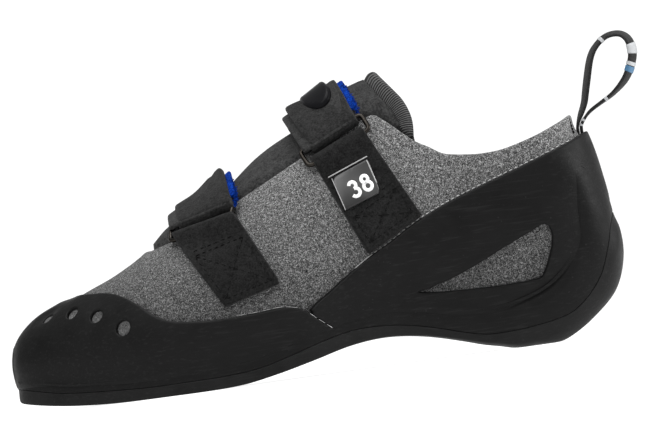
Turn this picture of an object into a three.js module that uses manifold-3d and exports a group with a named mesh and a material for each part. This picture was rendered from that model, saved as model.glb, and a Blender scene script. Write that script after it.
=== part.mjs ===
// A left climbing shoe with two hook-and-loop straps.
// Millimetres. The toe points to -X, the outer side of the foot to -Y, and +Z is up.
// The origin is the middle of the heel's flat resting spot, on the floor.

import * as THREE from 'three';
import Module from 'manifold-3d';

const wasm = await Module();
wasm.setup();

// Driving dimensions of the shoe
const shoeLength = 247;          // toe tip to heel back
const instepHeight = 100;        // floor to the collar's front corner
const heelHeight = 90;           // floor to the collar's rear corner
const ballWidth = 86;            // widest, across the ball of the foot
const heelWidth = 61;            // widest, across the heel

// Thicknesses and clearances
const upperWall = 2;
const randThickness = 2;
const tongueThickness = 4.4;
const bindingProud = 0.7;
const insoleThickness = 2.6;
const gap = 0.3;                 // between pieces that touch
const lastingMargin = 8;         // how far the upper turns under the foot

// Straps, rings, label and loop
const strapLayer = 1.9;
const pileThickness = 1.6;
const strapTail = 2.6;
const baseThickness = 2.2;
const ringWire = 1.9;
const ringLength = 28.6;
const ringWidth = 8.5;
const ringBendSteps = 3;
const foldLength = 25;
const foldReach = 3.4;
const foldCloth = 1.2;           // webbing over the ring in the base's fold
const labelThickness = 1.2;
const badgeLength = 13;
const badgeHeight = 12;
const badgeThickness = 1.4;
const loopWidth = 10;
const loopThickness = 1.2;
const ventHoles = [5.0, 5.4, 5.6, 6.3];   // diameters, from the toe tip back

// Levels measured outwards from the upper's outer face
const randInner = gap;
const randOuter = gap + randThickness;
const soleInner = randOuter + gap;
const tongueTop = -gap;
const tongueTucked = -upperWall - gap;
const tongueUnder = tongueTucked - tongueThickness;
const strapInner = 2 * gap;
const strapOuter = strapInner + strapLayer;
const pileInner = strapOuter + gap;
const pileOuter = pileInner + pileThickness;
const tailInner = pileOuter + gap;
const tailOuter = tailInner + strapTail;
const baseInner = gap;
const baseOuter = baseInner + baseThickness;
const labelInner = baseOuter + gap;
const labelOuter = labelInner + labelThickness;
const badgeInner = tailOuter + gap;
const badgeOuter = badgeInner + badgeThickness;
const ringLevel = baseOuter + gap + ringWire / 2;
const baseFoldTop = ringLevel + ringWire / 2 + gap + foldCloth;

// Shape rules
const steepestCorner = 0.8;      // share of the height below the widest place that a corner may take
const tongueClearance = 1.5 * gap;
const sideOverlap = 2 * gap;     // how far a strap's outer half runs past the middle

// Mesh density
const fineSections = { from: 16, to: 23 };      // between these sections there is one more ring
const cornerSteps = 3;
const crownSteps = 4;
const holeSides = 10;
const ringSides = 6;
const foldSides = 10;
const badgeSides = 12;
const farAway = 300;
const flatTolerance = 0.25;      // the sole is ground flat where it is this close to the floor
const openSections = { from: 3, to: 18.5 };     // between these the upper is open underneath
const insoleSections = { from: 0, to: 18 };
const soleSections = { from: 0, to: 23 };
const toeSections = 6;           // sections whose outline turns round the toe

// Small numeric helpers
const lerp = (a, b, t) => a + (b - a) * t;
const clamp01 = (t) => Math.min(1, Math.max(0, t));
const smooth = (t) => clamp01(t) ** 2 * (3 - 2 * clamp01(t));
const degrees = Math.PI / 180;

function spline(a, b, c, d, t) {
  const straight = 2 * b;
  const slope = (c - a) * t;
  const square = (2 * a - 5 * b + 4 * c - d) * t * t;
  const cube = (3 * b - a - 3 * c + d) * t * t * t;
  return 0.5 * (straight + slope + square + cube);
}

// Where the sizes of the foot turn into the sizes of the heel, as shares of the length
const heightBlend = { start: -0.25, end: 0 };
const widthBlend = { start: -0.4, end: -0.15 };

function blended(x, zone, front, rear) {
  return lerp(front, rear, smooth((x - zone.start) / (zone.end - zone.start)));
}

function sidePoint(x, z) {
  return [x * shoeLength, z * blended(x, heightBlend, instepHeight, heelHeight)];
}

// Sections of the shoe's form, the outer face of the upper, from the toe round to the back of the heel.
// x, z: the section's lowest or rearmost point; tx, tz: its top point, both in the side view.
// Lengths are shares of shoeLength, heights of instepHeight or heelHeight.
// outer, inner, ridge: how far the section reaches to the foot's outer and inner side, and where its top is,
// as shares of ballWidth or heelWidth. flat, corner: share of the half width that is flat underneath, and
// that its rounded edge takes. widest: height share of the widest place. crown: above 1 is more pointed.
// sole: thickness of rubber and sheets under the section, in shares of instepHeight.
// box: 1 where the outsole has a square edge, 0 where it is rounded.
const columns = [
  'x', 'z', 'tx', 'tz', 'outer', 'inner', 'ridge', 'flat', 'corner', 'widest', 'crown', 'sole', 'box',
];
const sections = [
  [-0.806, 0.120, -0.803, 0.265, 0.087, 0.169, 0.128, 0.40, 0.50, 0.50, 0.90, 0.060, 1],
  [-0.800, 0.116, -0.795, 0.303, 0.017, 0.233, 0.128, 0.72, 0.20, 0.45, 0.85, 0.066, 1],
  [-0.787, 0.107, -0.780, 0.342, -0.041, 0.285, 0.128, 0.80, 0.15, 0.42, 0.85, 0.066, 1],
  [-0.765, 0.096, -0.759, 0.376, -0.099, 0.331, 0.128, 0.84, 0.12, 0.40, 0.85, 0.066, 1],
  [-0.729, 0.083, -0.725, 0.412, -0.174, 0.372, 0.122, 0.89, 0.08, 0.38, 0.85, 0.066, 1],
  [-0.684, 0.073, -0.684, 0.458, -0.262, 0.407, 0.116, 0.90, 0.07, 0.35, 0.85, 0.067, 1],
  [-0.632, 0.066, -0.636, 0.506, -0.349, 0.434, 0.110, 0.91, 0.06, 0.32, 0.90, 0.068, 1],
  [-0.575, 0.066, -0.583, 0.577, -0.424, 0.444, 0.105, 0.91, 0.06, 0.30, 0.95, 0.069, 1],
  [-0.514, 0.067, -0.526, 0.656, -0.471, 0.430, 0.099, 0.91, 0.06, 0.28, 1.00, 0.070, 1],
  [-0.453, 0.075, -0.470, 0.733, -0.494, 0.390, 0.093, 0.90, 0.06, 0.27, 1.10, 0.068, 1],
  [-0.393, 0.099, -0.413, 0.835, -0.495, 0.343, 0.081, 0.88, 0.07, 0.26, 1.20, 0.066, 1],
  [-0.332, 0.134, -0.356, 0.934, -0.512, 0.322, 0.076, 0.82, 0.11, 0.26, 1.25, 0.066, 1],
  [-0.271, 0.170, -0.300, 1.006, -0.510, 0.324, 0.069, 0.78, 0.13, 0.27, 1.25, 0.066, 0.9],
  [-0.211, 0.183, -0.243, 1.088, -0.516, 0.362, 0.062, 0.73, 0.16, 0.30, 1.15, 0.066, 0.8],
  [-0.150, 0.168, -0.194, 1.166, -0.504, 0.407, 0.049, 0.68, 0.20, 0.32, 1.00, 0.066, 0.7],
  [-0.089, 0.129, -0.154, 1.242, -0.484, 0.434, 0.033, 0.62, 0.26, 0.34, 0.85, 0.066, 0.55],
  [-0.022, 0.096, -0.121, 1.290, -0.466, 0.452, 0.014, 0.56, 0.32, 0.36, 0.75, 0.091, 0.4],
  [0.024, 0.097, -0.097, 1.340, -0.459, 0.459, 0, 0.50, 0.38, 0.37, 0.70, 0.092, 0.2],
  [0.073, 0.126, -0.077, 1.333, -0.459, 0.459, 0, 0.42, 0.44, 0.38, 0.65, 0.097, 0],
  [0.113, 0.194, -0.061, 1.306, -0.459, 0.459, 0, 0.34, 0.50, 0.39, 0.65, 0.098, 0],
  [0.144, 0.311, -0.053, 1.278, -0.459, 0.459, 0, 0.26, 0.56, 0.40, 0.65, 0.116, 0],
  [0.160, 0.444, -0.049, 1.244, -0.456, 0.456, 0, 0.20, 0.68, 0.41, 0.65, 0.102, 0],
  [0.169, 0.578, -0.047, 1.222, -0.451, 0.451, 0, 0.16, 0.74, 0.42, 0.65, 0.044, 0],
  [0.164, 0.711, -0.045, 1.200, -0.443, 0.443, 0, 0.14, 0.78, 0.44, 0.65, 0.026, 0],
  [0.154, 0.856, -0.045, 1.180, -0.434, 0.434, 0, 0.13, 0.80, 0.46, 0.65, 0.020, 0],
  [0.140, 0.978, -0.045, 1.160, -0.426, 0.426, 0, 0.13, 0.80, 0.47, 0.65, 0.010, 0],
  [0.127, 1.090, -0.045, 1.140, -0.418, 0.418, 0, 0.13, 0.80, 0.48, 0.65, 0.010, 0],
];

function sectionAt(place) {
  const i = Math.min(Math.floor(place), sections.length - 2);
  const rows = [i - 1, i, i + 1, i + 2].map((k) => sections[Math.min(Math.max(k, 0), sections.length - 1)]);
  const row = {};
  columns.forEach((name, c) => {
    row[name] = spline(rows[0][c], rows[1][c], rows[2][c], rows[3][c], place - i);
  });
  const width = blended(row.x, widthBlend, ballWidth, heelWidth);
  const bottom = new THREE.Vector2(...sidePoint(row.x, row.z));
  const top = new THREE.Vector2(...sidePoint(row.tx, row.tz));
  return {
    bottom,
    rise: top.clone().sub(bottom).normalize(),
    height: top.distanceTo(bottom),
    reach: { outer: row.outer * width, inner: row.inner * width },
    middle: (row.outer + row.inner) * width / 2,
    ridge: row.ridge * width,
    flat: row.flat,
    corner: row.corner,
    widest: row.widest,
    crown: row.crown,
    sole: row.sole * instepHeight,
    box: row.box,
  };
}

// One point of a section, from how far it is across the shoe and how high above the section's lowest point
function inSection(section, across, up) {
  return new THREE.Vector3(
    section.bottom.x + section.rise.x * up,
    across,
    section.bottom.y + section.rise.y * up,
  );
}

// One side of a section, from the middle underneath up to just short of the ridge
function sideOfSection(section, side) {
  const edge = section.reach[side];
  const half = edge - section.middle;
  const flatEdge = section.middle + half * section.flat;
  const cornerEdge = flatEdge + half * section.corner;
  const widestUp = section.height * section.widest;
  const cornerUp = Math.min(Math.abs(half) * section.corner, steepestCorner * widestUp);
  const points = [];
  for (let i = 0; i <= cornerSteps; i += 1) {
    const a = 90 * degrees * i / cornerSteps;
    points.push([lerp(flatEdge, cornerEdge, Math.sin(a)), cornerUp * (1 - Math.cos(a))]);
  }
  for (let i = 0; i < crownSteps; i += 1) {
    const a = 90 * degrees * i / crownSteps;
    const across = lerp(section.ridge, edge, Math.cos(a) ** section.crown);
    points.push([across, lerp(widestUp, section.height, Math.sin(a))]);
  }
  return points;
}

function ringOfSection(section) {
  const outer = sideOfSection(section, 'outer');
  const inner = sideOfSection(section, 'inner');
  const ring = [[section.middle, 0], ...outer, [section.ridge, section.height], ...inner.reverse()];
  return ring.map(([across, up]) => inSection(section, across, up));
}

// A closed solid through rings of equal length, with flat ends
function solidFromRings(rings) {
  const count = rings[0].length;
  const points = rings.flat();
  const triangles = [];
  for (let k = 0; k + 1 < rings.length; k += 1) {
    for (let i = 0; i < count; i += 1) {
      const a = k * count + i;
      const b = k * count + (i + 1) % count;
      triangles.push([a, b, b + count], [a, b + count, a + count]);
    }
  }
  const first = points.length;
  points.push(average(rings[0]));
  points.push(average(rings[rings.length - 1]));
  const end = (rings.length - 1) * count;
  for (let i = 0; i < count; i += 1) {
    const next = (i + 1) % count;
    triangles.push([first, next, i], [first + 1, end + i, end + next]);
  }
  return solid(points, triangles);
}

function average(points) {
  const sum = points.reduce((total, point) => total.add(point), new THREE.Vector3());
  return sum.divideScalar(points.length);
}

function solid(points, triangles) {
  const vertProperties = new Float32Array(points.flatMap((p) => [p.x, p.y, p.z]));
  const make = (order) => new wasm.Manifold(new wasm.Mesh({
    numProp: 3, vertProperties, triVerts: new Uint32Array(order.flat()),
  }));
  const made = make(triangles);
  if (made.volume() > 0) {
    return made;
  }
  return make(triangles.map(([a, b, c]) => [a, c, b]));
}

// The form's rings, once, with the direction that each point moves in when the form is made larger
const places = [];
sections.forEach((row, i) => {
  places.push(i);
  if (i >= fineSections.from && i < fineSections.to) {
    places.push(i + 0.5);
  }
});
const stations = places.map(sectionAt);
const stationsBetween = ({ from, to }) => (
  stations.filter((unused, k) => places[k] >= from && places[k] <= to));
const formRings = stations.map(ringOfSection);

function outwards(k, i) {
  const ring = formRings[k];
  const before = formRings[Math.max(k - 1, 0)][i];
  const after = formRings[Math.min(k + 1, formRings.length - 1)][i];
  const along = after.clone().sub(before);
  const around = ring[(i + 1) % ring.length].clone().sub(ring[(i + ring.length - 1) % ring.length]);
  const normal = along.cross(around).normalize();
  if (k === 0) {
    normal.x = -1;
  }
  return normal;
}

const outwardRings = formRings.map((ring, k) => ring.map((point, i) => outwards(k, i)));

function ringsAt(level) {
  return formRings.map((ring, k) => ring.map((point, i) => (
    point.clone().addScaledVector(outwardRings[k][i], level))));
}

// The form at a level: 0 is the upper's outer face, negative levels lie inside it
const forms = new Map();
function form(level) {
  if (!forms.has(level)) {
    forms.set(level, solidFromRings(ringsAt(level)));
  }
  return forms.get(level);
}

function shell(outer, inner) {
  return form(outer).subtract(form(inner));
}

const sideLine = (shares) => shares.map(([x, z]) => sidePoint(x, z));

// A prism right across the shoe, or over part of its width, with an outline in the side view
function sidePrism(outline, from = -farAway, to = farAway) {
  const clockwise = THREE.ShapeUtils.isClockWise(outline.map(([x, z]) => new THREE.Vector2(x, z)));
  const ordered = clockwise ? [...outline].reverse() : outline;
  const flat = ordered.map(([x, z]) => new THREE.Vector2(x, z));
  const faces = THREE.ShapeUtils.triangulateShape(flat, []);
  const count = flat.length;
  const points = [from, to].flatMap((y) => flat.map((p) => new THREE.Vector3(p.x, y, p.y)));
  const triangles = [];
  faces.forEach(([a, b, c]) => {
    triangles.push([a, b, c], [c + count, b + count, a + count]);
  });
  for (let i = 0; i < count; i += 1) {
    const next = (i + 1) % count;
    triangles.push([i, i + count, next + count], [i, next + count, next]);
  }
  return solid(points, triangles);
}

// Outlines in the side view, in shares of the same sizes as the sections

// The throat's edge and then the collar, from the front of the throat to the back of the heel
const openingEdge = [
  [-0.575, 0.640], [-0.555, 0.618], [-0.521, 0.630], [-0.478, 0.673], [-0.424, 0.735], [-0.374, 0.795],
  [-0.309, 0.874], [-0.251, 0.942], [-0.2, 1.005], [-0.187, 1.022], [-0.177, 1.017], [-0.159, 0.988],
  [-0.140, 0.954], [-0.123, 0.926], [-0.101, 0.904], [-0.085, 0.884], [-0.069, 0.877], [-0.034, 0.877],
  [-0.008, 0.880], [0.020, 0.888], [0.062, 0.917], [0.090, 0.943], [0.119, 0.976], [0.137, 0.999],
  [0.150, 1.011], [0.22, 1.05],
];

// The toe rand's top edge, then its rear end down to the sole
const toeRandEdge = [
  [-0.706, 0.474], [-0.696, 0.459], [-0.680, 0.454], [-0.660, 0.452], [-0.644, 0.444], [-0.630, 0.430],
  [-0.615, 0.407], [-0.599, 0.376], [-0.585, 0.345], [-0.571, 0.320], [-0.555, 0.302], [-0.530, 0.290],
  [-0.490, 0.281], [-0.449, 0.280], [-0.409, 0.284], [-0.388, 0.289], [-0.367, 0.289], [-0.347, 0.278],
  [-0.330, 0.256], [-0.318, 0.229], [-0.292, 0.174], [-0.270, 0.120], [-0.255, 0.05],
];

// The heel rand's top edge, from its front corner to the back of the heel
const heelRandEdge = [
  [-0.330, 0.256], [-0.311, 0.293], [-0.290, 0.325], [-0.271, 0.360], [-0.246, 0.402], [-0.219, 0.446],
  [-0.183, 0.500], [-0.158, 0.546], [-0.126, 0.600], [-0.081, 0.668], [-0.023, 0.739], [0.051, 0.806],
  [0.128, 0.880], [0.158, 0.917], [0.200, 0.960],
];
const heelRandFront = 18;        // the toe rand's point from which the two rands lie side by side

// The window in the heel rand, from its front tip along the top
const window = [
  [-0.153, 0.284], [-0.131, 0.299], [-0.089, 0.338], [-0.046, 0.392], [-0.003, 0.450], [0.040, 0.500],
  [0.064, 0.528], [0.073, 0.520], [0.077, 0.484], [0.074, 0.428], [0.065, 0.363], [0.054, 0.305],
  [0.045, 0.290], [-0.011, 0.284], [-0.065, 0.282], [-0.119, 0.279],
];

// The top edge of the outsole's side, from the toe to where it thins out on the back of the heel
const soleLine = [
  [-0.830, 0.118], [-0.800, 0.100], [-0.748, 0.072], [-0.687, 0.058], [-0.607, 0.048], [-0.556, 0.048],
  [-0.486, 0.050], [-0.428, 0.061], [-0.379, 0.089], [-0.315, 0.135], [-0.270, 0.160], [-0.239, 0.165],
  [-0.206, 0.163], [-0.176, 0.155], [-0.146, 0.141], [-0.116, 0.122], [-0.093, 0.105], [-0.061, 0.084],
  [-0.040, 0.077], [0.000, 0.080], [0.026, 0.087], [0.064, 0.103], [0.095, 0.130], [0.122, 0.187],
  [0.142, 0.253], [0.153, 0.308], [0.166, 0.408], [0.173, 0.480], [0.182, 0.551], [0.200, 0.640],
];

// The tongue's rear edge, from its top down into the collar, and the inner edge of its ribbed band
const tongueEdge = [
  [-0.180, 1.260], [-0.170, 1.205], [-0.150, 1.150], [-0.135, 1.108], [-0.126, 1.061], [-0.122, 1.009],
  [-0.124, 0.933], [-0.130, 0.870],
];
const bindingEdge = [
  [-0.206, 1.250], [-0.194, 1.180], [-0.172, 1.108], [-0.158, 1.063], [-0.149, 1.027], [-0.144, 0.989],
  [-0.146, 0.915], [-0.152, 0.850],
];

// The tongue's sides, tucked under the upper, from the collar to its sewn front end
const tongueSide = [
  [-0.200, 0.860], [-0.260, 0.800], [-0.330, 0.720], [-0.410, 0.620], [-0.480, 0.545], [-0.560, 0.500],
];

// The two straps, in the side view. toeEdge and heelEdge run from the sewn base up to above the ridge;
// their first points are the base's lower corners and their second points lie on the ring.
// tailEnd and anchor are lines across the strap, on the foot's inner side.
const straps = {
  front: {
    toeEdge: [[-0.464, 0.326], [-0.528, 0.612], [-0.534, 0.780], [-0.540, 0.900]],
    heelEdge: [[-0.368, 0.390], [-0.425, 0.675], [-0.450, 0.850], [-0.465, 0.980]],
    tailEnd: [[-0.56, 0.530], [-0.38, 0.610]],
    anchor: [[-0.56, 0.335], [-0.30, 0.420]],
  },
  rear: {
    toeEdge: [[-0.220, 0.454], [-0.292, 0.855], [-0.332, 1.060], [-0.360, 1.190]],
    heelEdge: [[-0.127, 0.608], [-0.203, 0.962], [-0.243, 1.165], [-0.275, 1.310]],
    tailEnd: [[-0.36, 0.700], [-0.12, 0.850]],
    anchor: [[-0.36, 0.440], [-0.08, 0.620]],
  },
};

// The size label on the rear base, and the middle and half sizes of the badge on the rear strap
const labelCorners = [[-0.265, 0.775], [-0.202, 0.842], [-0.189, 0.704], [-0.249, 0.641]];
const badgeMiddle = [-0.276, 1.130];

// The pull loop's middle line, from its inner end up, round and down to its outer end, and its twist
const loopPath = [
  [0.1525, 0.924, 0], [0.1530, 0.950, 0], [0.1570, 1.010, 8], [0.1680, 1.133, 11], [0.1790, 1.235, 10],
  [0.1920, 1.288, 8], [0.2105, 1.322, 8], [0.2310, 1.324, 10], [0.2440, 1.294, 15], [0.2480, 1.241, 17],
  [0.2440, 1.189, 16], [0.2310, 1.122, 13], [0.2090, 1.066, 6], [0.1870, 1.030, 3], [0.1710, 1.000, 2],
  [0.1630, 0.970, 0], [0.1590, 0.945, 0], [0.1585, 0.926, 0],
];

// Vent holes over the toes: the place along the form's sections, and how far round the crown, in degrees
const ventPlaces = [[3.35, 58], [4.48, 46], [5.33, 32], [6.12, 16]];
const holeStep = { place: 0.1, angle: 2 };      // steps beside a hole that give its direction

// Materials
const paint = (color, roughness, metalness = 0) => (
  new THREE.MeshStandardMaterial({ color, roughness, metalness }));
const finishes = {
  rubber: paint(0x1b1c1e, 0.55),
  microfibre: paint(0x6f7174, 0.95),
  tongueCloth: paint(0x2b2c2f, 0.95),
  webbing: paint(0x222326, 0.9),
  pile: paint(0x1c49a8, 0.95),
  steel: paint(0x8d9094, 0.3, 1),
  gloss: paint(0x0c0c0d, 0.2),
  lining: paint(0x3a3b3e, 0.95),
};

const shoe = new THREE.Group();
function add(name, body, material) {
  const { numProp, vertProperties, triVerts } = body.getMesh();
  const positions = new Float32Array(vertProperties.length / numProp * 3);
  for (let i = 0; i < positions.length / 3; i += 1) {
    for (let c = 0; c < 3; c += 1) {
      positions[3 * i + c] = vertProperties[numProp * i + c];
    }
  }
  const geometry = new THREE.BufferGeometry();
  geometry.setAttribute('position', new THREE.BufferAttribute(positions, 3));
  geometry.setIndex(new THREE.BufferAttribute(new Uint32Array(triVerts), 1));
  geometry.computeVertexNormals();
  const mesh = new THREE.Mesh(geometry, material);
  mesh.name = name;
  shoe.add(mesh);
}

// Everything above a side line, or below it
const above = (line) => [...line, [farAway, farAway], [-farAway, farAway]];
const below = (line) => [...line, [farAway, -farAway], [-farAway, -farAway]];

// The opening underneath, inside the lasting margin
function footOpening() {
  const rings = stationsBetween(openSections).map((section) => {
    const sides = ['outer', 'inner'].map((side) => {
      const half = section.reach[side] - section.middle;
      const open = Math.abs(half) * (section.flat + section.corner) - lastingMargin;
      return section.middle + Math.sign(half) * open;
    });
    const up = [-2 * soleInner, 2 * upperWall];
    const corners = [[sides[0], up[0]], [sides[0], up[1]], [sides[1], up[1]], [sides[1], up[0]]];
    return corners.map(([across, height]) => inSection(section, across, height));
  });
  return solidFromRings(rings);
}

const underside = footOpening();
const openingLine = sideLine(openingEdge);

function upper() {
  return shell(0, -upperWall).subtract(sidePrism(above(openingLine))).subtract(underside);
}

function insole() {
  const up = upperWall + gap + insoleThickness;
  const line = stationsBetween(insoleSections).map(({ bottom, rise }) => (
    [bottom.x + rise.x * up, bottom.y + rise.y * up]));
  const heelEnd = line[line.length - 1];
  line.push([farAway, heelEnd[1]]);
  return form(-upperWall - gap).intersect(sidePrism(below(line)));
}

// The outsole: a loft with square edges at the forefoot and round ones at the heel, hollowed by the form
function outsole() {
  const rings = stationsBetween(soleSections).map((section, k) => {
    const sides = ['outer', 'inner'].map((name) => soleSide(section, name, k));
    const middle = inSection(section, section.middle, -section.sole);
    middle.x -= k === 0 ? randOuter : 0;
    return [middle, ...sides[0], ...sides[1].reverse()].map(groundFlat);
  });
  const line = sidePrism(below(sideLine(soleLine)));
  return solidFromRings(rings).intersect(line).subtract(form(soleInner));
}

// The sole is ground flat where it would dip below the floor
function groundFlat(point) {
  point.z = point.z < flatTolerance ? 0 : point.z;
  return point;
}

function soleSide(section, side, k) {
  const half = section.reach[side] - section.middle;
  const cornerIndex = side === 'outer' ? cornerSteps + 1 : formRings[k].length - cornerSteps - 1;
  const outward = outwardRings[k][cornerIndex];
  const flatEdge = section.middle + half * section.flat;
  const cornerEdge = flatEdge + half * section.corner + outward.y * randOuter;
  const cornerUp = Math.abs(half) * section.corner;
  const points = [];
  for (let i = 0; i <= cornerSteps; i += 1) {
    const a = 90 * degrees * i / cornerSteps;
    const round = [lerp(flatEdge, cornerEdge, Math.sin(a)), lerp(cornerUp, -section.sole, Math.cos(a))];
    const square = [i === 0 ? flatEdge : cornerEdge, i <= 1 ? -section.sole : round[1]];
    points.push([lerp(round[0], square[0], section.box), lerp(round[1], square[1], section.box)]);
  }
  points.push([cornerEdge, cornerUp + soleInner]);
  return points.map(([across, up]) => {
    const point = inSection(section, across, up);
    point.x += k <= toeSections ? outward.x * randOuter : 0;
    return point;
  });
}

// The toe rand's region and the heel rand's region share the line where they lie side by side
const toeLine = sideLine(toeRandEdge);
const heelLine = sideLine(heelRandEdge);

function toeRand() {
  const rearEnd = toeLine[toeLine.length - 1][0];
  const region = sidePrism([[-farAway, farAway], ...toeLine, [rearEnd, -farAway], [-farAway, -farAway]]);
  const holes = ventHoles.map((diameter, i) => ventHole(diameter, ...ventPlaces[i]));
  let rand = shell(randOuter, randInner).intersect(region).subtract(underside);
  holes.forEach((hole) => {
    rand = rand.subtract(hole);
  });
  return rand;
}

function heelRand() {
  const seam = toeLine.slice(heelRandFront).map(([x, z]) => [x + gap, z]);
  const front = [seam[seam.length - 1][0], -farAway];
  const behind = [[farAway, heelLine[heelLine.length - 1][1]], [farAway, -farAway]];
  const region = sidePrism([front, ...seam.reverse(), ...heelLine.slice(1), ...behind]);
  const opening = sidePrism(sideLine(window));
  return shell(randOuter, randInner).intersect(region).subtract(underside).subtract(opening);
}

// A hole square to the form at a place along the sections and an angle round the crown
function ventHole(diameter, place, angle) {
  const at = (p, a) => {
    const section = sectionAt(p);
    const across = lerp(section.ridge, section.reach.outer, Math.cos(a * degrees) ** section.crown);
    const up = section.height * lerp(section.widest, 1, Math.sin(a * degrees));
    return inSection(section, across, up);
  };
  const middle = at(place, angle);
  const along = at(place + holeStep.place, angle).sub(at(place - holeStep.place, angle));
  const around = at(place, angle + holeStep.angle).sub(at(place, angle - holeStep.angle));
  const normal = along.cross(around).normalize();
  const depth = 2 * randOuter;
  const start = middle.clone().addScaledVector(normal, -depth);
  const end = middle.clone().addScaledVector(normal, depth);
  return tube([start, end], diameter / 2, holeSides);
}

// An axis that isn't close to a direction
function squareTo(direction) {
  const alongY = Math.abs(direction.y) > Math.SQRT1_2;
  return alongY ? new THREE.Vector3(1, 0, 0) : new THREE.Vector3(0, 1, 0);
}

// A round bar through points, open or closed
function tube(points, radius, sides, closed = false) {
  const count = points.length;
  const rings = points.map((point, i) => {
    const before = points[closed ? (i + count - 1) % count : Math.max(i - 1, 0)];
    const after = points[closed ? (i + 1) % count : Math.min(i + 1, count - 1)];
    return { point, along: after.clone().sub(before).normalize() };
  }).map(({ point, along }) => {
    const right = along.clone().cross(squareTo(along)).normalize();
    const upward = right.clone().cross(along);
    return Array.from({ length: sides }, (unused, k) => {
      const a = 360 * degrees * k / sides;
      const across = radius * Math.cos(a);
      return point.clone().addScaledVector(right, across).addScaledVector(upward, radius * Math.sin(a));
    });
  });
  return closed ? solidFromLoop(rings) : solidFromRings(rings);
}

// A closed solid through rings whose last ring meets the first
function solidFromLoop(rings) {
  const count = rings[0].length;
  const triangles = [];
  rings.forEach((ring, k) => {
    const next = (k + 1) % rings.length;
    for (let i = 0; i < count; i += 1) {
      const j = (i + 1) % count;
      triangles.push([k * count + i, k * count + j, next * count + j]);
      triangles.push([k * count + i, next * count + j, next * count + i]);
    }
  });
  return solid(rings.flat(), triangles);
}

// The tongue: raised between the throat's edges, tucked under the upper beside and below them
function tongueBody(region, proud) {
  const clear = openingLine.map(([x, z]) => [x, z + tongueClearance]);
  const whole = shell(tongueTop + proud, tongueUnder - proud).intersect(region);
  const underUpper = shell(randOuter, tongueTucked).intersect(sidePrism(below(clear)));
  return whole.subtract(underUpper);
}

const shifted = (line, x) => line.map(([px, pz]) => [px + x, pz]);

function tongue() {
  const rear = sideLine(bindingEdge);
  const side = sideLine(tongueSide);
  const outline = [[rear[0][0], farAway], ...rear, ...side, [side[side.length - 1][0], farAway]];
  return tongueBody(sidePrism(outline), 0);
}

function tongueBinding() {
  const front = shifted(sideLine(bindingEdge), gap);
  const rear = sideLine(tongueEdge);
  const outline = [[front[0][0], farAway], ...front, ...rear.reverse(), [rear[rear.length - 1][0], farAway]];
  return tongueBody(sidePrism(outline), bindingProud);
}

// Straps
function surfacePoint([x, z], level) {
  const rings = ringsAt(level);
  const outerPoints = cornerSteps + crownSteps + 2;
  let best;
  for (let k = 0; k + 1 < rings.length; k += 1) {
    for (let i = 1; i < outerPoints; i += 1) {
      const quad = [rings[k][i], rings[k + 1][i], rings[k + 1][i + 1], rings[k][i + 1]];
      [[quad[0], quad[1], quad[2]], [quad[0], quad[2], quad[3]]].forEach((corners) => {
        best = liftInto(corners, x, z) ?? best;
      });
    }
  }
  return best;
}

function liftInto([a, b, c], x, z) {
  const area = (b.x - a.x) * (c.z - a.z) - (c.x - a.x) * (b.z - a.z);
  const u = ((x - a.x) * (c.z - a.z) - (c.x - a.x) * (z - a.z)) / area;
  const v = ((b.x - a.x) * (z - a.z) - (x - a.x) * (b.z - a.z)) / area;
  if (u < -1e-6 || v < -1e-6 || u + v > 1 + 1e-6) {
    return undefined;
  }
  return new THREE.Vector3(x, a.y + u * (b.y - a.y) + v * (c.y - a.y), z);
}

// The frame of a strap's ring: along the strap's edge-to-edge direction, down towards the base, and outwards
function ringFrame({ toeEdge, heelEdge }) {
  const toe = surfacePoint(sidePoint(...toeEdge[1]), 0);
  const heel = surfacePoint(sidePoint(...heelEdge[1]), 0);
  const middle = surfacePoint([(toe.x + heel.x) / 2, (toe.z + heel.z) / 2], 0);
  const across = heel.clone().sub(toe).normalize();
  const step = ringWidth / 2;
  const below = surfacePoint([middle.x - across.z * -step, middle.z - across.x * step], 0);
  const outward = below.sub(middle).cross(across).normalize();
  if (outward.y > 0) {
    outward.negate();
  }
  const down = outward.clone().cross(across).normalize();
  if (down.z > 0) {
    down.negate();
  }
  return { middle, across, down, outward };
}

function fromFrame({ middle, across, down, outward }, a, d, o) {
  return middle.clone().addScaledVector(across, a).addScaledVector(down, d).addScaledVector(outward, o);
}

function ringWirePath(frame) {
  const bend = ringWire;
  const halfLength = ringLength / 2 - bend;
  const halfWidth = ringWidth / 2 - bend;
  const path = [];
  [[1, 1, 0], [-1, 1, 90], [-1, -1, 180], [1, -1, 270]].forEach(([sa, sd, turn]) => {
    for (let i = 0; i <= ringBendSteps; i += 1) {
      const angle = (turn + 90 * i / ringBendSteps) * degrees;
      const along = sa * halfLength + bend * Math.cos(angle);
      const down = sd * halfWidth + bend * Math.sin(angle);
      path.push(fromFrame(frame, along, down, ringLevel));
    }
  });
  return path;
}

function strapRing(strap) {
  return tube(ringWirePath(ringFrame(strap)), ringWire / 2, ringSides, true);
}

// A fold of webbing round one long side of the ring: a bar with a rounded section and a hole
function foldRound(frame, side, top, spare = 0) {
  const centre = side * (ringWidth / 2);
  const half = (top - baseInner) / 2;
  const level = baseInner + half;
  const path = [-1, 1].map((end) => fromFrame(frame, end * (foldLength / 2 + spare), centre, level));
  const rings = path.map((point) => Array.from({ length: foldSides }, (unused, i) => {
    const a = 360 * degrees * i / foldSides;
    const down = (foldReach + spare) * Math.cos(a);
    const out = (half + spare) * Math.sin(a);
    return point.clone().addScaledVector(frame.down, down).addScaledVector(frame.outward, out);
  }));
  return solidFromRings(rings).subtract(form(baseInner));
}

function ringClearance(frame) {
  return tube(ringWirePath(frame), ringWire / 2 + gap, ringSides, true);
}

const outerSide = (outline, reach) => sidePrism(outline, -farAway, reach);

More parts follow.
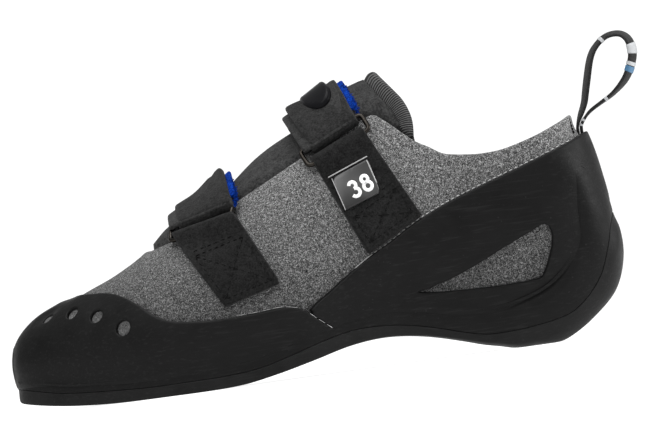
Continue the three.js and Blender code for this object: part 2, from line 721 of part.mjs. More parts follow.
function strapBase(strap) {
  const frame = ringFrame(strap);
  const [toe, heel] = [strap.toeEdge, strap.heelEdge].map((edge) => sideLine(edge));
  const patch = outerSide([toe[0], toe[1], heel[1], heel[0]], 0);
  const sheet = shell(baseOuter, baseInner).intersect(patch);
  return sheet.add(foldRound(frame, 1, baseFoldTop)).subtract(ringClearance(frame));
}

// The part of a strap's width above a line on the outer side and above another on the inner side
function strapRegion(strap, outerLine, innerLine) {
  const [toe, heel] = [strap.toeEdge, strap.heelEdge].map((edge) => sideLine(edge));
  const band = sidePrism([...toe, ...[...heel].reverse()]);
  const outer = sidePrism(above(outerLine), -farAway, sideOverlap);
  const inner = sidePrism(above(innerLine), 0, farAway);
  return band.intersect(outer.add(inner));
}

function extended([a, b]) {
  const along = [b[0] - a[0], b[1] - a[1]];
  return [[a[0] - along[0], a[1] - along[1]], [b[0] + along[0], b[1] + along[1]]];
}

function strapPieces(strap) {
  const frame = ringFrame(strap);
  const ringLine = extended([strap.toeEdge[1], strap.heelEdge[1]].map(([x, z]) => sidePoint(x, z)));
  const liftedLine = (lift) => ringLine.map(([x, z]) => [x, z + lift]);
  const region = (lift, innerLine) => strapRegion(strap, liftedLine(lift), sideLine(innerLine));
  const under = shell(strapOuter, strapInner).intersect(region(ringWidth / 2, strap.anchor));
  const tail = shell(tailOuter, tailInner).intersect(region(ringWidth / 2, strap.tailEnd));
  const pile = shell(pileOuter, pileInner).intersect(region(ringWidth, strap.tailEnd));
  const fold = foldRound(frame, -1, tailOuter);
  const clearOfFold = foldRound(frame, -1, tailOuter, gap);
  return {
    body: under.add(tail).add(fold).subtract(ringClearance(frame)),
    pile: pile.subtract(clearOfFold).subtract(ringClearance(frame)),
  };
}

function sizeLabel() {
  return shell(labelOuter, labelInner).intersect(outerSide(sideLine(labelCorners), 0));
}

function strapBadge() {
  const [x, z] = sidePoint(...badgeMiddle);
  const outline = Array.from({ length: badgeSides }, (unused, i) => {
    const a = 360 * degrees * i / badgeSides;
    return [x + badgeLength / 2 * Math.cos(a), z + badgeHeight / 2 * Math.sin(a)];
  });
  return shell(badgeOuter, badgeInner).intersect(outerSide(outline, 0));
}

// The pull loop: a flat band along its path, turned by its twist
function pullLoop() {
  const path = loopPath.map(([x, z, twist]) => ({ at: sidePoint(x, z), twist }));
  const rings = path.map(({ at, twist }, i) => {
    const before = path[Math.max(i - 1, 0)].at;
    const after = path[Math.min(i + 1, path.length - 1)].at;
    const along = new THREE.Vector3(after[0] - before[0], 0, after[1] - before[1]).normalize();
    const width = new THREE.Vector3(0, 1, 0).applyAxisAngle(along, twist * degrees);
    const thick = along.clone().cross(width);
    const middle = new THREE.Vector3(at[0], 0, at[1]);
    return [[-1, -1], [1, -1], [1, 1], [-1, 1]].map(([w, t]) => {
      const corner = middle.clone().addScaledVector(width, w * loopWidth / 2);
      return corner.addScaledVector(thick, t * loopThickness / 2);
    });
  });
  return solidFromRings(rings);
}

add('outsole', outsole(), finishes.rubber);
add('insole', insole(), finishes.lining);
add('upper', upper(), finishes.microfibre);
add('toe_rand', toeRand(), finishes.rubber);
add('heel_rand', heelRand(), finishes.rubber);
add('tongue', tongue(), finishes.tongueCloth);
add('tongue_binding', tongueBinding(), finishes.webbing);
Object.entries(straps).forEach(([name, strap]) => {
  const { body, pile } = strapPieces(strap);
  add(`${name}_strap_base`, strapBase(strap), finishes.webbing);
  add(`${name}_ring`, strapRing(strap), finishes.steel);
  add(`${name}_strap`, body, finishes.webbing);
  add(`${name}_pile`, pile, finishes.pile);
});
add('size_label', sizeLabel(), finishes.gloss);
add('strap_badge', strapBadge(), finishes.gloss);
add('pull_loop', pullLoop(), finishes.webbing);

export default shoe;
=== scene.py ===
# Looks of a left climbing shoe with two hook-and-loop straps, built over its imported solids.
# The toe points to -X, the outer side of the foot to -Y, and +Z is up.
# Lengths are in millimetres unless a name or comment says metres.

import functools
import math

import bpy
import numpy as np
from mathutils import Matrix, Vector, kdtree


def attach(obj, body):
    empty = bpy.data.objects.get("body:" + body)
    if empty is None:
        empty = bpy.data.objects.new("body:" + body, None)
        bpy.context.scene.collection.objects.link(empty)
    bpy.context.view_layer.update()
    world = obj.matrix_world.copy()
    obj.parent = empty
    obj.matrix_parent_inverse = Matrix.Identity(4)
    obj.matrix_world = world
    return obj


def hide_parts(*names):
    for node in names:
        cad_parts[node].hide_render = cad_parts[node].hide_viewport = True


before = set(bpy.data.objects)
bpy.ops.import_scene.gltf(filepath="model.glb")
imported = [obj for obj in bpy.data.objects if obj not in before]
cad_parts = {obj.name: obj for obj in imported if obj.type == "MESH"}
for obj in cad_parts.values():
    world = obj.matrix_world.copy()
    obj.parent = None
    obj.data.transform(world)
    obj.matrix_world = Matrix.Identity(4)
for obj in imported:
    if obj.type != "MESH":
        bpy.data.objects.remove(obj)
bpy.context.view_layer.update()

MM = 0.001

# Driving dimensions of the shoe, and the stretch of its length, in shares, where the heel's take over
SHOE_LENGTH = 247
INSTEP_HEIGHT = 100
HEEL_HEIGHT = 90
BALL_WIDTH = 86
HEEL_WIDTH = 61
HEIGHT_BLEND = (-0.25, 0)
WIDTH_BLEND = (-0.4, -0.15)

# Levels and thicknesses, outwards from the upper's outer face; INSOLE_UP is upwards from the form's bottom
UPPER_WALL = 2
SUNK = 0.4
RAND_OUTER = 2.3
SOLE_INNER = 2.6
SOLE_SHEET = 1.6
FOOT_SUNK = 1.6
FOOT_SHEET = 1.2
TONGUE_TOP = -0.3
TONGUE_TUCKED = -2.3
TONGUE_THICKNESS = 4.4
BINDING_PROUD = 0.7
BASE_OUTER = 2.5
STRAP_INNER = 0.6
STRAP_OUTER = 2.5
PILE_INNER = 2.7
PILE_OUTER = 4.5
TAIL_INNER = 4.7
TAIL_OUTER = 7.3
LABEL_INNER = 2.2
LABEL_OUTER = 3.6
BADGE_INNER = 7
BADGE_OUTER = 9.0
RING_LEVEL = 3.75
FOLD_LOW = 0.3
BASE_FOLD_TOP = 6.2
INSOLE_UP = 4.9
INSOLE_UNDER = -2.3
INSOLE_THICKNESS = 2.6

# Sizes of the smaller pieces
RING_WIRE = 1.9
RING_LENGTH = 28.6
RING_WIDTH = 8.5
FOLD_START = 0.85
FOLD_REACH = 3.4
LOOP_WIDTH = 10
LOOP_THICKNESS = 1.2
LOOP_LEAN = 2.4
LOOP_SUNK = 4
BADGE_LENGTH = 13
BADGE_HEIGHT = 12
PILE_FLARE = 2.2
TUFTS = 220
VENT_CLOTH_UP = 0.8
FOOT_TOP = 70
COLLAR_THINNED = 1.7
RIB_PITCH = 0.95
STREAK_TURN = math.radians(25)
DIGIT_WIDTH = 4.6
DIGIT_HEIGHT = 6.6
DIGIT_STROKE = 1.35

# Widths over which the pieces' edges are rounded
UPPER_ROUND = 0.9
TOE_RAND_ROUND = 1.1
VENT_ROUND = 0.8
HEEL_RAND_ROUND = 1.0
SOLE_ROUND = 0.25
TONGUE_ROUND = 1.0
BINDING_ROUND = 2.2
BASE_ROUND = 0.8
TAIL_ROUND = 1.3
LABEL_ROUND = 0.5
BADGE_ROUND = 1.2

# How far above the ring's middle line the strap's inner layers end
UNDER_LIFT = 4.25
LIP_LIFT = 1.6
PILE_LIFT = 8.5

# How far the form's tip and heel swell out past its sections
CAP_BULGE = 0.4
TOE_SWELL = 1.5
HEEL_SWELL = 1.3

# Density of the form, and a length that lies beyond it
ROWS_PER_SECTION = 9
HALF_RING = 72
DENSE_PROFILE = 60
CAP_ROWS = 6
TOE_SECTIONS = 6
LAST_SOLE_SECTION = 23
LAST_INSOLE_SECTION = 18
WIDEST_SOLE_FACE = 6
FAR = 300

# Sections of the shoe's form, from the toe round to the back of the heel.
# x, z: lowest or rearmost point; tx, tz: top point, both in the side view, in shares of length and height.
# outer, inner, ridge: reach to the outer and inner side and the place of the top, in shares of the width.
# flat, corner: share of the half width that is flat underneath and that its rounded edge takes.
# widest: height share of the widest place. crown: above 1 is more pointed.
# sole: thickness of rubber under the section. box: 1 where the outsole has a square edge.
COLUMNS = (
    "x", "z", "tx", "tz", "outer", "inner", "ridge", "flat", "corner", "widest", "crown", "sole", "box",
)
SECTIONS = (
    (-0.806, 0.120, -0.803, 0.265, 0.087, 0.169, 0.128, 0.40, 0.50, 0.50, 0.90, 0.060, 1),
    (-0.800, 0.116, -0.795, 0.303, 0.017, 0.233, 0.128, 0.72, 0.20, 0.45, 0.85, 0.066, 1),
    (-0.787, 0.107, -0.780, 0.342, -0.041, 0.285, 0.128, 0.80, 0.15, 0.42, 0.85, 0.066, 1),
    (-0.765, 0.096, -0.759, 0.376, -0.099, 0.331, 0.128, 0.84, 0.12, 0.40, 0.85, 0.066, 1),
    (-0.729, 0.083, -0.725, 0.412, -0.174, 0.372, 0.122, 0.89, 0.08, 0.38, 0.85, 0.066, 1),
    (-0.684, 0.073, -0.684, 0.458, -0.262, 0.407, 0.116, 0.90, 0.07, 0.35, 0.85, 0.067, 1),
    (-0.632, 0.066, -0.636, 0.506, -0.349, 0.434, 0.110, 0.91, 0.06, 0.32, 0.90, 0.068, 1),
    (-0.575, 0.066, -0.583, 0.577, -0.424, 0.444, 0.105, 0.91, 0.06, 0.30, 0.95, 0.069, 1),
    (-0.514, 0.067, -0.526, 0.656, -0.471, 0.430, 0.099, 0.91, 0.06, 0.28, 1.00, 0.070, 1),
    (-0.453, 0.075, -0.470, 0.733, -0.494, 0.390, 0.093, 0.90, 0.06, 0.27, 1.10, 0.068, 1),
    (-0.393, 0.099, -0.413, 0.835, -0.495, 0.343, 0.081, 0.88, 0.07, 0.26, 1.20, 0.066, 1),
    (-0.332, 0.134, -0.356, 0.934, -0.512, 0.322, 0.076, 0.82, 0.11, 0.26, 1.25, 0.066, 1),
    (-0.271, 0.170, -0.300, 1.006, -0.510, 0.324, 0.069, 0.78, 0.13, 0.27, 1.25, 0.066, 0.9),
    (-0.211, 0.183, -0.243, 1.088, -0.516, 0.362, 0.062, 0.73, 0.16, 0.30, 1.15, 0.066, 0.8),
    (-0.150, 0.168, -0.194, 1.166, -0.504, 0.407, 0.049, 0.68, 0.20, 0.32, 1.00, 0.066, 0.7),
    (-0.089, 0.129, -0.154, 1.242, -0.484, 0.434, 0.033, 0.62, 0.26, 0.34, 0.85, 0.066, 0.55),
    (-0.022, 0.096, -0.121, 1.290, -0.466, 0.452, 0.014, 0.56, 0.32, 0.36, 0.75, 0.091, 0.4),
    (0.024, 0.097, -0.097, 1.340, -0.459, 0.459, 0, 0.50, 0.38, 0.37, 0.70, 0.092, 0.2),
    (0.073, 0.126, -0.077, 1.333, -0.459, 0.459, 0, 0.42, 0.44, 0.38, 0.65, 0.097, 0),
    (0.113, 0.194, -0.061, 1.306, -0.459, 0.459, 0, 0.34, 0.50, 0.39, 0.65, 0.098, 0),
    (0.144, 0.311, -0.053, 1.278, -0.459, 0.459, 0, 0.26, 0.56, 0.40, 0.65, 0.116, 0),
    (0.160, 0.444, -0.049, 1.244, -0.456, 0.456, 0, 0.20, 0.68, 0.41, 0.65, 0.102, 0),
    (0.169, 0.578, -0.047, 1.222, -0.451, 0.451, 0, 0.16, 0.74, 0.42, 0.65, 0.044, 0),
    (0.164, 0.711, -0.045, 1.200, -0.443, 0.443, 0, 0.14, 0.78, 0.44, 0.65, 0.026, 0),
    (0.154, 0.856, -0.045, 1.180, -0.434, 0.434, 0, 0.13, 0.80, 0.46, 0.65, 0.020, 0),
    (0.140, 0.978, -0.045, 1.160, -0.426, 0.426, 0, 0.13, 0.80, 0.47, 0.65, 0.010, 0),
    (0.127, 1.090, -0.045, 1.140, -0.418, 0.418, 0, 0.13, 0.80, 0.48, 0.65, 0.010, 0),
)

# Outlines in the side view, in the same shares
OPENING_EDGE = (
    (-0.592, 0.640), (-0.580, 0.590), (-0.555, 0.600), (-0.521, 0.626), (-0.478, 0.673), (-0.424, 0.735),
    (-0.374, 0.795), (-0.309, 0.874), (-0.251, 0.942), (-0.2, 1.005), (-0.187, 1.022), (-0.177, 1.017),
    (-0.159, 0.988), (-0.140, 0.954), (-0.123, 0.926), (-0.101, 0.904), (-0.085, 0.884), (-0.069, 0.877),
    (-0.034, 0.877), (-0.008, 0.880), (0.020, 0.888), (0.062, 0.917), (0.090, 0.943), (0.119, 0.976),
    (0.137, 0.999), (0.150, 1.011), (0.22, 1.05),
)
TOE_RAND_EDGE = (
    (-0.706, 0.474), (-0.696, 0.459), (-0.680, 0.454), (-0.660, 0.452), (-0.644, 0.444), (-0.630, 0.430),
    (-0.615, 0.407), (-0.599, 0.376), (-0.585, 0.345), (-0.571, 0.320), (-0.555, 0.302), (-0.530, 0.290),
    (-0.490, 0.281), (-0.449, 0.280), (-0.409, 0.284), (-0.388, 0.289), (-0.367, 0.289), (-0.347, 0.278),
    (-0.330, 0.256), (-0.318, 0.229), (-0.292, 0.174), (-0.270, 0.120), (-0.255, 0.05),
)
HEEL_RAND_EDGE = (
    (-0.330, 0.256), (-0.311, 0.293), (-0.290, 0.325), (-0.271, 0.360), (-0.246, 0.402), (-0.219, 0.446),
    (-0.183, 0.500), (-0.158, 0.546), (-0.126, 0.600), (-0.081, 0.668), (-0.023, 0.739), (0.051, 0.806),
    (0.128, 0.880), (0.158, 0.917), (0.200, 0.960),
)
HEEL_RAND_FRONT = 18
WINDOW = (
    (-0.153, 0.284), (-0.131, 0.299), (-0.089, 0.338), (-0.046, 0.392), (-0.003, 0.450), (0.040, 0.500),
    (0.064, 0.528), (0.073, 0.520), (0.077, 0.484), (0.074, 0.428), (0.065, 0.363), (0.054, 0.305),
    (0.045, 0.290), (-0.011, 0.284), (-0.065, 0.282), (-0.119, 0.279),
)
SOLE_LINE = (
    (-0.830, 0.118), (-0.800, 0.100), (-0.748, 0.072), (-0.687, 0.058), (-0.607, 0.048), (-0.556, 0.048),
    (-0.486, 0.050), (-0.428, 0.061), (-0.379, 0.089), (-0.315, 0.135), (-0.270, 0.160), (-0.239, 0.165),
    (-0.206, 0.163), (-0.176, 0.155), (-0.146, 0.141), (-0.116, 0.122), (-0.093, 0.105), (-0.061, 0.084),
    (-0.040, 0.077), (0.000, 0.080), (0.026, 0.087), (0.064, 0.103), (0.095, 0.130), (0.122, 0.187),
    (0.142, 0.253), (0.153, 0.308), (0.166, 0.408), (0.173, 0.480), (0.182, 0.551), (0.200, 0.640),
)
TONGUE_EDGE = (
    (-0.180, 1.260), (-0.170, 1.205), (-0.150, 1.150), (-0.135, 1.108), (-0.126, 1.061), (-0.122, 1.009),
    (-0.124, 0.933), (-0.130, 0.870),
)
BINDING_EDGE = (
    (-0.206, 1.250), (-0.194, 1.180), (-0.172, 1.108), (-0.158, 1.063), (-0.149, 1.027), (-0.144, 0.989),
    (-0.146, 0.915), (-0.152, 0.850),
)
TONGUE_SIDE = (
    (-0.200, 0.860), (-0.260, 0.800), (-0.330, 0.720), (-0.410, 0.620), (-0.480, 0.545), (-0.620, 0.450),
)
STRAPS = {
    "front": {
        "toe_edge": ((-0.464, 0.326), (-0.528, 0.612), (-0.534, 0.780), (-0.540, 0.900)),
        "heel_edge": ((-0.368, 0.390), (-0.425, 0.675), (-0.438, 0.850), (-0.448, 0.980)),
        "tail_end": ((-0.56, 0.530), (-0.38, 0.610)),
        "anchor": ((-0.56, 0.335), (-0.30, 0.420)),
        "box_top": 0.27,
        "swell": (0.9, 0.9),
    },
    "rear": {
        "toe_edge": ((-0.220, 0.454), (-0.292, 0.855), (-0.332, 1.060), (-0.360, 1.190)),
        "heel_edge": ((-0.127, 0.608), (-0.203, 0.962), (-0.238, 1.165), (-0.268, 1.310)),
        "tail_end": ((-0.36, 0.700), (-0.12, 0.850)),
        "anchor": ((-0.36, 0.440), (-0.08, 0.620)),
        "box_top": 0.64,
        "swell": (2.2, -0.6),
    },
}
LABEL_CORNERS = ((-0.265, 0.775), (-0.202, 0.842), (-0.189, 0.704), (-0.249, 0.641))
BADGE_MIDDLE = (-0.276, 1.130)

# The pull loop's middle line and its twist in degrees
LOOP_PATH = (
    (0.1525, 0.924, 0), (0.1530, 0.950, 0), (0.1570, 1.010, 8), (0.1680, 1.133, 11), (0.1790, 1.235, 10),
    (0.1920, 1.288, 8), (0.2105, 1.322, 8), (0.2310, 1.324, 10), (0.2440, 1.294, 15), (0.2480, 1.241, 17),
    (0.2440, 1.189, 16), (0.2310, 1.122, 13), (0.2090, 1.066, 6), (0.1870, 1.030, 3), (0.1710, 1.000, 2),
    (0.1630, 0.970, 0), (0.1590, 0.945, 0), (0.1585, 0.926, 0),
)

# Pale and blue marks woven into the loop, between rows of its path
LOOP_MARKS = (
    ((5.35, 5.6), "mark"), ((8.4, 9.25), "mark"), ((9.95, 10.2), "mark"), ((10.25, 10.6), "blue_mark"),
    ((12.5, 12.7), "mark"), ((15.1, 15.4), "mark"), ((15.9, 16.3), "mark"),
)

# Vent holes over the toes: diameter, place along the sections and degrees round the crown
VENTS = ((5.0, 3.35, 58), (5.4, 4.48, 46), (5.6, 5.33, 32), (6.3, 6.12, 16))

# Places in the side view where the tongue swells between the straps: middle, height and half width
TONGUE_SWELLS = ((-131, 3.2, 9), (-96, 0.8, 9), (-57, 1.6, 7))

# Soft creases of the upper: points in the side view, depth and half width; a negative depth is a ridge
CREASES = (
    (((-150, 33), (-146, 42), (-139, 52), (-132, 60)), 0.55, 3.0),
    (((-159, 40), (-154, 46), (-148, 52)), 0.4, 2.6),
    (((-88, 33), (-84, 44), (-82, 56), (-80, 68)), 0.5, 4.5),
    (((-76, 44), (-72, 56), (-70, 68)), -0.4, 4.0),
    (((-30, 62), (-24, 70), (-20, 79)), 0.5, 3.5),
    (((-38, 60), (-33, 72), (-31, 84)), -0.35, 3.0),
    (((10, 74), (14, 79), (17, 83)), 0.35, 3.0),
)


# Small numeric helpers


def smooth(t):
    t = np.clip(t, 0, 1)
    return t * t * (3 - 2 * t)


def mix(a, b, t):
    return a + (b - a) * t


def blended(x, zone, front, rear):
    return mix(front, rear, smooth((x - zone[0]) / (zone[1] - zone[0])))


def spline_rows(table, places):
    last = len(table) - 1
    i = np.clip(np.floor(places).astype(int), 0, last - 1)
    t = (places - i)[:, None]
    a, b, c, d = (table[np.clip(i + k, 0, last)] for k in (-1, 0, 1, 2))
    square = (2 * a - 5 * b + 4 * c - d) * t**2
    cube = (3 * b - a - 3 * c + d) * t**3
    return 0.5 * (2 * b + (c - a) * t + square + cube)


def side_points(shares):
    shares = np.asarray(shares, float)
    height = blended(shares[:, 0], HEIGHT_BLEND, INSTEP_HEIGHT, HEEL_HEIGHT)
    return np.stack([shares[:, 0] * SHOE_LENGTH, shares[:, 1] * height], 1)


def smooth_line(points, steps=5):
    points = np.asarray(points, float)
    places = np.arange((len(points) - 1) * steps + 1) / steps
    return spline_rows(points, places)


def side_line(shares, steps=5):
    return smooth_line(side_points(shares), steps)


def above(line):
    return np.concatenate([line, [(FAR, FAR), (-FAR, FAR)]])


def below(line):
    return np.concatenate([line, [(FAR, -FAR), (-FAR, -FAR)]])


def unit(vectors):
    length = np.linalg.norm(vectors, axis=-1, keepdims=True)
    return vectors / np.maximum(length, 1e-9)


def stretches(points, line):
    """The length of each stretch of a line, and each point's nearest share of it and squared distance."""
    x, z = points[:, 0], points[:, -1]
    for (ax, az), (bx, bz) in zip(line[:-1], line[1:]):
        ex, ez = bx - ax, bz - az
        square = max(ex * ex + ez * ez, 1e-12)
        t = np.clip(((x - ax) * ex + (z - az) * ez) / square, 0, 1)
        yield math.sqrt(square), t, (x - ax - t * ex) ** 2 + (z - az - t * ez) ** 2


def line_distance(points, line):
    nearest = np.full(len(points), np.inf)
    for _, _, away in stretches(points, line):
        nearest = np.minimum(nearest, away)
    return np.sqrt(nearest)


def line_place(points, line):
    """How far along a line, in millimetres, the nearest place to each point is."""
    nearest = np.full(len(points), np.inf)
    found = np.zeros(len(points))
    start = 0
    for length, t, away in stretches(points, line):
        found = np.where(away < nearest, start + t * length, found)
        nearest = np.minimum(nearest, away)
        start += length
    return found


def inside_distance(points, outline):
    """Distance to a closed outline in the side view: positive inside, negative outside."""
    x, z = points[:, 0], points[:, -1]
    line = np.concatenate([outline, outline[:1]])
    inside = np.zeros(len(points), bool)
    for (ax, az), (bx, bz) in zip(line[:-1], line[1:]):
        crosses = (az > z) != (bz > z)
        inside ^= crosses & (x < ax + (z - az) / ((bz - az) or 1) * (bx - ax))
    return line_distance(points, line) * np.where(inside, 1, -1)


# The form


def section_values(places):
    rows = spline_rows(np.array(SECTIONS), places)
    row = {name: rows[:, c][:, None] for c, name in enumerate(COLUMNS)}
    width = blended(row["x"], WIDTH_BLEND, BALL_WIDTH, HEEL_WIDTH)
    bottom = side_points(rows[:, 0:2])
    top = side_points(rows[:, 2:4])
    row["bottom"] = bottom
    row["rise"] = unit(top - bottom)
    row["height"] = np.linalg.norm(top - bottom, axis=1)[:, None]
    for name in ("outer", "inner", "ridge"):
        row[name] = row[name] * width
    row["middle"] = (row["outer"] + row["inner"]) / 2
    row["sole"] = row["sole"] * INSTEP_HEIGHT
    return row


def form_profile(row, side):
    reach, middle = row[side], row["middle"]
    half = reach - middle
    flat_edge = middle + half * row["flat"]
    corner_edge = flat_edge + half * row["corner"]
    widest_up = row["height"] * row["widest"]
    corner_up = np.minimum(np.abs(half) * row["corner"], 0.8 * widest_up)
    t = np.linspace(0, 1, DENSE_PROFILE, endpoint=False)[None, :]
    a = t * math.pi / 2
    last = np.append(a, [[math.pi / 2]], 1)
    crown = np.maximum(np.cos(last), 0) ** row["crown"]
    two = np.linspace(0, 1, 2 * DENSE_PROFILE, endpoint=False)[None, :] * math.pi / 2
    roundness = smooth((row["corner"] - 0.2) / 0.3)
    corner = mix(flat_edge, corner_edge, np.sin(a))
    cornered = np.concatenate([corner, mix(corner_edge, reach, smooth(t))], 1)
    cornered_up = np.concatenate([corner_up * (1 - np.cos(a)), mix(corner_up, widest_up, t)], 1)
    across = [
        mix(middle, flat_edge, t),
        mix(cornered, mix(flat_edge, reach, np.sin(two)), roundness),
        mix(row["ridge"], reach, crown),
    ]
    up = [
        0 * t + 0 * middle,
        mix(cornered_up, widest_up * (1 - np.cos(two)), roundness),
        mix(widest_up, row["height"], np.sin(last)),
    ]
    return np.concatenate(across, 1), np.concatenate(up, 1)


def evenly(across, up, count):
    made = []
    for a, u in zip(across, up):
        length = np.concatenate([[0], np.cumsum(np.hypot(np.diff(a), np.diff(u)))])
        at = np.linspace(0, length[-1], count)
        made.append((np.interp(at, length, a), np.interp(at, length, u)))
    return np.array(made).transpose(1, 0, 2)


def in_section(row, across, up):
    x = row["bottom"][:, 0:1] + row["rise"][:, 0:1] * up
    z = row["bottom"][:, 1:2] + row["rise"][:, 1:2] * up
    return np.stack([x, across, z], -1)


def joined_ring(outer, inner):
    across = np.concatenate([outer[0], inner[0][:, -2:0:-1]], 1)
    up = np.concatenate([outer[1], inner[1][:, -2:0:-1]], 1)
    return across, up


def with_toe_cap(rings):
    first = rings[0]
    centre = first.mean(0)
    caps = []
    for t in np.linspace(1, 0, CAP_ROWS, endpoint=False):
        cap = centre + (first - centre) * math.cos(t * math.pi / 2)
        cap[:, 0] -= CAP_BULGE * math.sin(t * math.pi / 2)
        caps.append(cap)
    return np.concatenate([np.array(caps), rings])


def grid_directions(points):
    along = np.gradient(points, axis=0)
    around = np.roll(points, -1, 1) - np.roll(points, 1, 1)
    out = unit(np.cross(along, around))
    out[0] = (-1, 0, 0)
    return out


def grid_faces(rows, count):
    index = np.arange(rows * count).reshape(rows, count)
    index[0] = 0
    a, b = index[:-1], np.roll(index, -1, 1)[:-1]
    c, d = np.roll(index, -1, 1)[1:], index[1:]
    first = np.stack([a, b, c], -1).reshape(-1, 3)
    second = np.stack([a, c, d], -1).reshape(-1, 3)
    faces = np.concatenate([first, second])
    return faces[(faces != np.roll(faces, 1, 1)).all(1)]


class Skin:
    """Points of a surface, the direction each moves in as its level rises, and the faces between them."""

    def __init__(self, base, out, faces, **fields):
        self.fields = {"base": base, "out": out, **fields}
        self.faces = faces

    def __getitem__(self, name):
        return self.fields[name]

    def __setitem__(self, name, values):
        self.fields[name] = values

    def at(self, level):
        level = np.asarray(level, float)
        return self["base"] + self["out"] * (level[:, None] if level.ndim else level)

    def copy(self):
        return Skin(faces=self.faces.copy(), **{k: v.copy() for k, v in self.fields.items()})

    def keep(self, faces):
        self.faces = self.faces[faces]
        used, place = np.unique(self.faces, return_inverse=True)
        self.faces = place.reshape(-1, 3)
        self.fields = {k: v[used] for k, v in self.fields.items()}
        return self

    def split(self, name, at):
        """New points where a field crosses a value, so that faces end there."""
        value = self[name] - at
        value[np.abs(value) < 1e-4] = 0
        self[name] = value + at
        f = self.faces
        sign = np.sign(value)
        ends = np.stack([f, np.roll(f, -1, 1)], -1)
        crossing = sign[ends[..., 0]] * sign[ends[..., 1]] < 0
        if not crossing.any():
            return self
        count = len(value)
        key = ends.min(-1) * count + ends.max(-1)
        keys, place = np.unique(key[crossing], return_inverse=True)
        new = np.full(key.shape, -1)
        new[crossing] = count + place
        i, j = keys // count, keys % count
        t = value[i] / (value[i] - value[j])
        for field, v in self.fields.items():
            w = t[:, None] if v.ndim > 1 else t
            self.fields[field] = np.concatenate([v, v[i] * (1 - w) + v[j] * w])
        self["out"][count:] = unit(self["out"][count:])
        self[name][count:] = at
        crossings = crossing.sum(1)
        made = [f[crossings == 0]]
        two, one = f[crossings == 2], f[crossings == 1]
        turn = np.argmin(crossing[crossings == 2], 1)
        rows = np.arange(len(two))
        lone, near, off = (two[rows, (turn + k) % 3] for k in (2, 0, 1))
        new_two = new[crossings == 2]
        m1, m2 = new_two[rows, (turn + 2) % 3], new_two[rows, (turn + 1) % 3]
        made += [np.stack(t3, 1) for t3 in ((lone, m1, m2), (m1, near, off), (m1, off, m2))]
        turn = np.argmax(crossing[crossings == 1], 1)
        rows = np.arange(len(one))
        a, b, c = (one[rows, (turn + k) % 3] for k in (0, 1, 2))
        m = new[crossings == 1][rows, turn]
        made += [np.stack(t3, 1) for t3 in ((a, m, c), (m, b, c))]
        self.faces = np.concatenate(made)
        return self

    def cut(self, name, radius, shares=(0, 0.02, 0.08, 0.2, 0.45, 1)):
        """Keeps what lies inside, with lines of points along the edge for its rounding."""
        self.keep((self[name][self.faces] > -0.01).any(1))
        for share in shares:
            self.split(name, share * radius)
        return self.keep(self[name][self.faces].mean(1) > 1e-6)


def make_form():
    count = (len(SECTIONS) - 1) * ROWS_PER_SECTION + 1
    places = np.arange(count) / ROWS_PER_SECTION
    row = section_values(places)
    outer = evenly(*form_profile(row, "outer"), HALF_RING + 1)
    inner = evenly(*form_profile(row, "inner"), HALF_RING + 1)
    across, up = joined_ring(outer, inner)
    rings = with_toe_cap(in_section(row, across, up))
    at_tip = smooth((-184 - rings[..., 0]) / 15)
    rings[..., 0] -= TOE_SWELL * at_tip * np.exp(-(((rings[..., 2] - 20) / 9) ** 2))
    out = grid_directions(rings)
    rows, around = rings.shape[:2]
    across_ridge = np.concatenate([np.repeat(row["ridge"][0], CAP_ROWS), row["ridge"][:, 0]])
    inward = rings[..., 1] - across_ridge[:, None]
    lift = np.concatenate([np.repeat(up[0:1], CAP_ROWS, 0), up])
    place = np.concatenate([np.zeros(CAP_ROWS), places])
    skin = Skin(
        rings.reshape(-1, 3),
        out.reshape(-1, 3),
        grid_faces(rows, around),
        inward=inward.ravel(),
        up=lift.ravel(),
        place=np.repeat(place, around),
    )
    return skin, rings, out


form, form_rings, form_out = make_form()


# The outer side as a height map


class Surface:
    """Finds points of the outer side at a level from their place in the side view."""

    def __init__(self, level):
        facing = (form["inward"] < 0.5) & (form["out"][:, 1] < -0.12)
        self.points = form.at(level)[facing]
        self.out = form["out"][facing]
        self.tree = kdtree.KDTree(len(self.points))
        for i, (x, _, z) in enumerate(self.points):
            self.tree.insert((x, 0, z), i)
        self.tree.balance()

    def find(self, x, z):
        near = self.tree.find_n((x, 0, z), 3)
        i = near[0][1]
        p, n = self.points[i], self.out[i]
        y = p[1] - (n[0] * (x - p[0]) + n[2] * (z - p[2])) / n[1]
        weights = np.array([1 / (distance + 0.05) for _, _, distance in near])
        out = unit(sum(w * self.out[k[1]] for w, k in zip(weights, near)))
        return np.array((x, y, z)), out


surface = functools.cache(Surface)


# Meshes


def make_object(name, vertices, faces, names, face_materials=None):
    mesh = bpy.data.meshes.new(name)
    places = [tuple(v) for v in np.asarray(vertices) * MM]
    mesh.from_pydata(places, [], [tuple(map(int, f)) for f in faces])
    for material in names:
        mesh.materials.append(materials[material])
    if face_materials is not None:
        mesh.polygons.foreach_set("material_index", np.asarray(face_materials, np.int32))
    mesh.polygons.foreach_set("use_smooth", [True] * len(faces))
    mesh.update()
    piece = bpy.data.objects.new(name, mesh)
    bpy.context.scene.collection.objects.link(piece)
    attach(piece, "root")
    return piece


def finish_piece(piece, slot, *nodes):
    if nodes:
        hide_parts(*nodes)
    return piece


def boundary_edges(faces):
    ends = np.stack([faces, np.roll(faces, -1, 1)], -1).reshape(-1, 2)
    low, high = np.sort(ends, 1).T
    key = low * (faces.max() + 1) + high
    _, place, count = np.unique(key, return_inverse=True, return_counts=True)
    return ends[count[place] == 1]


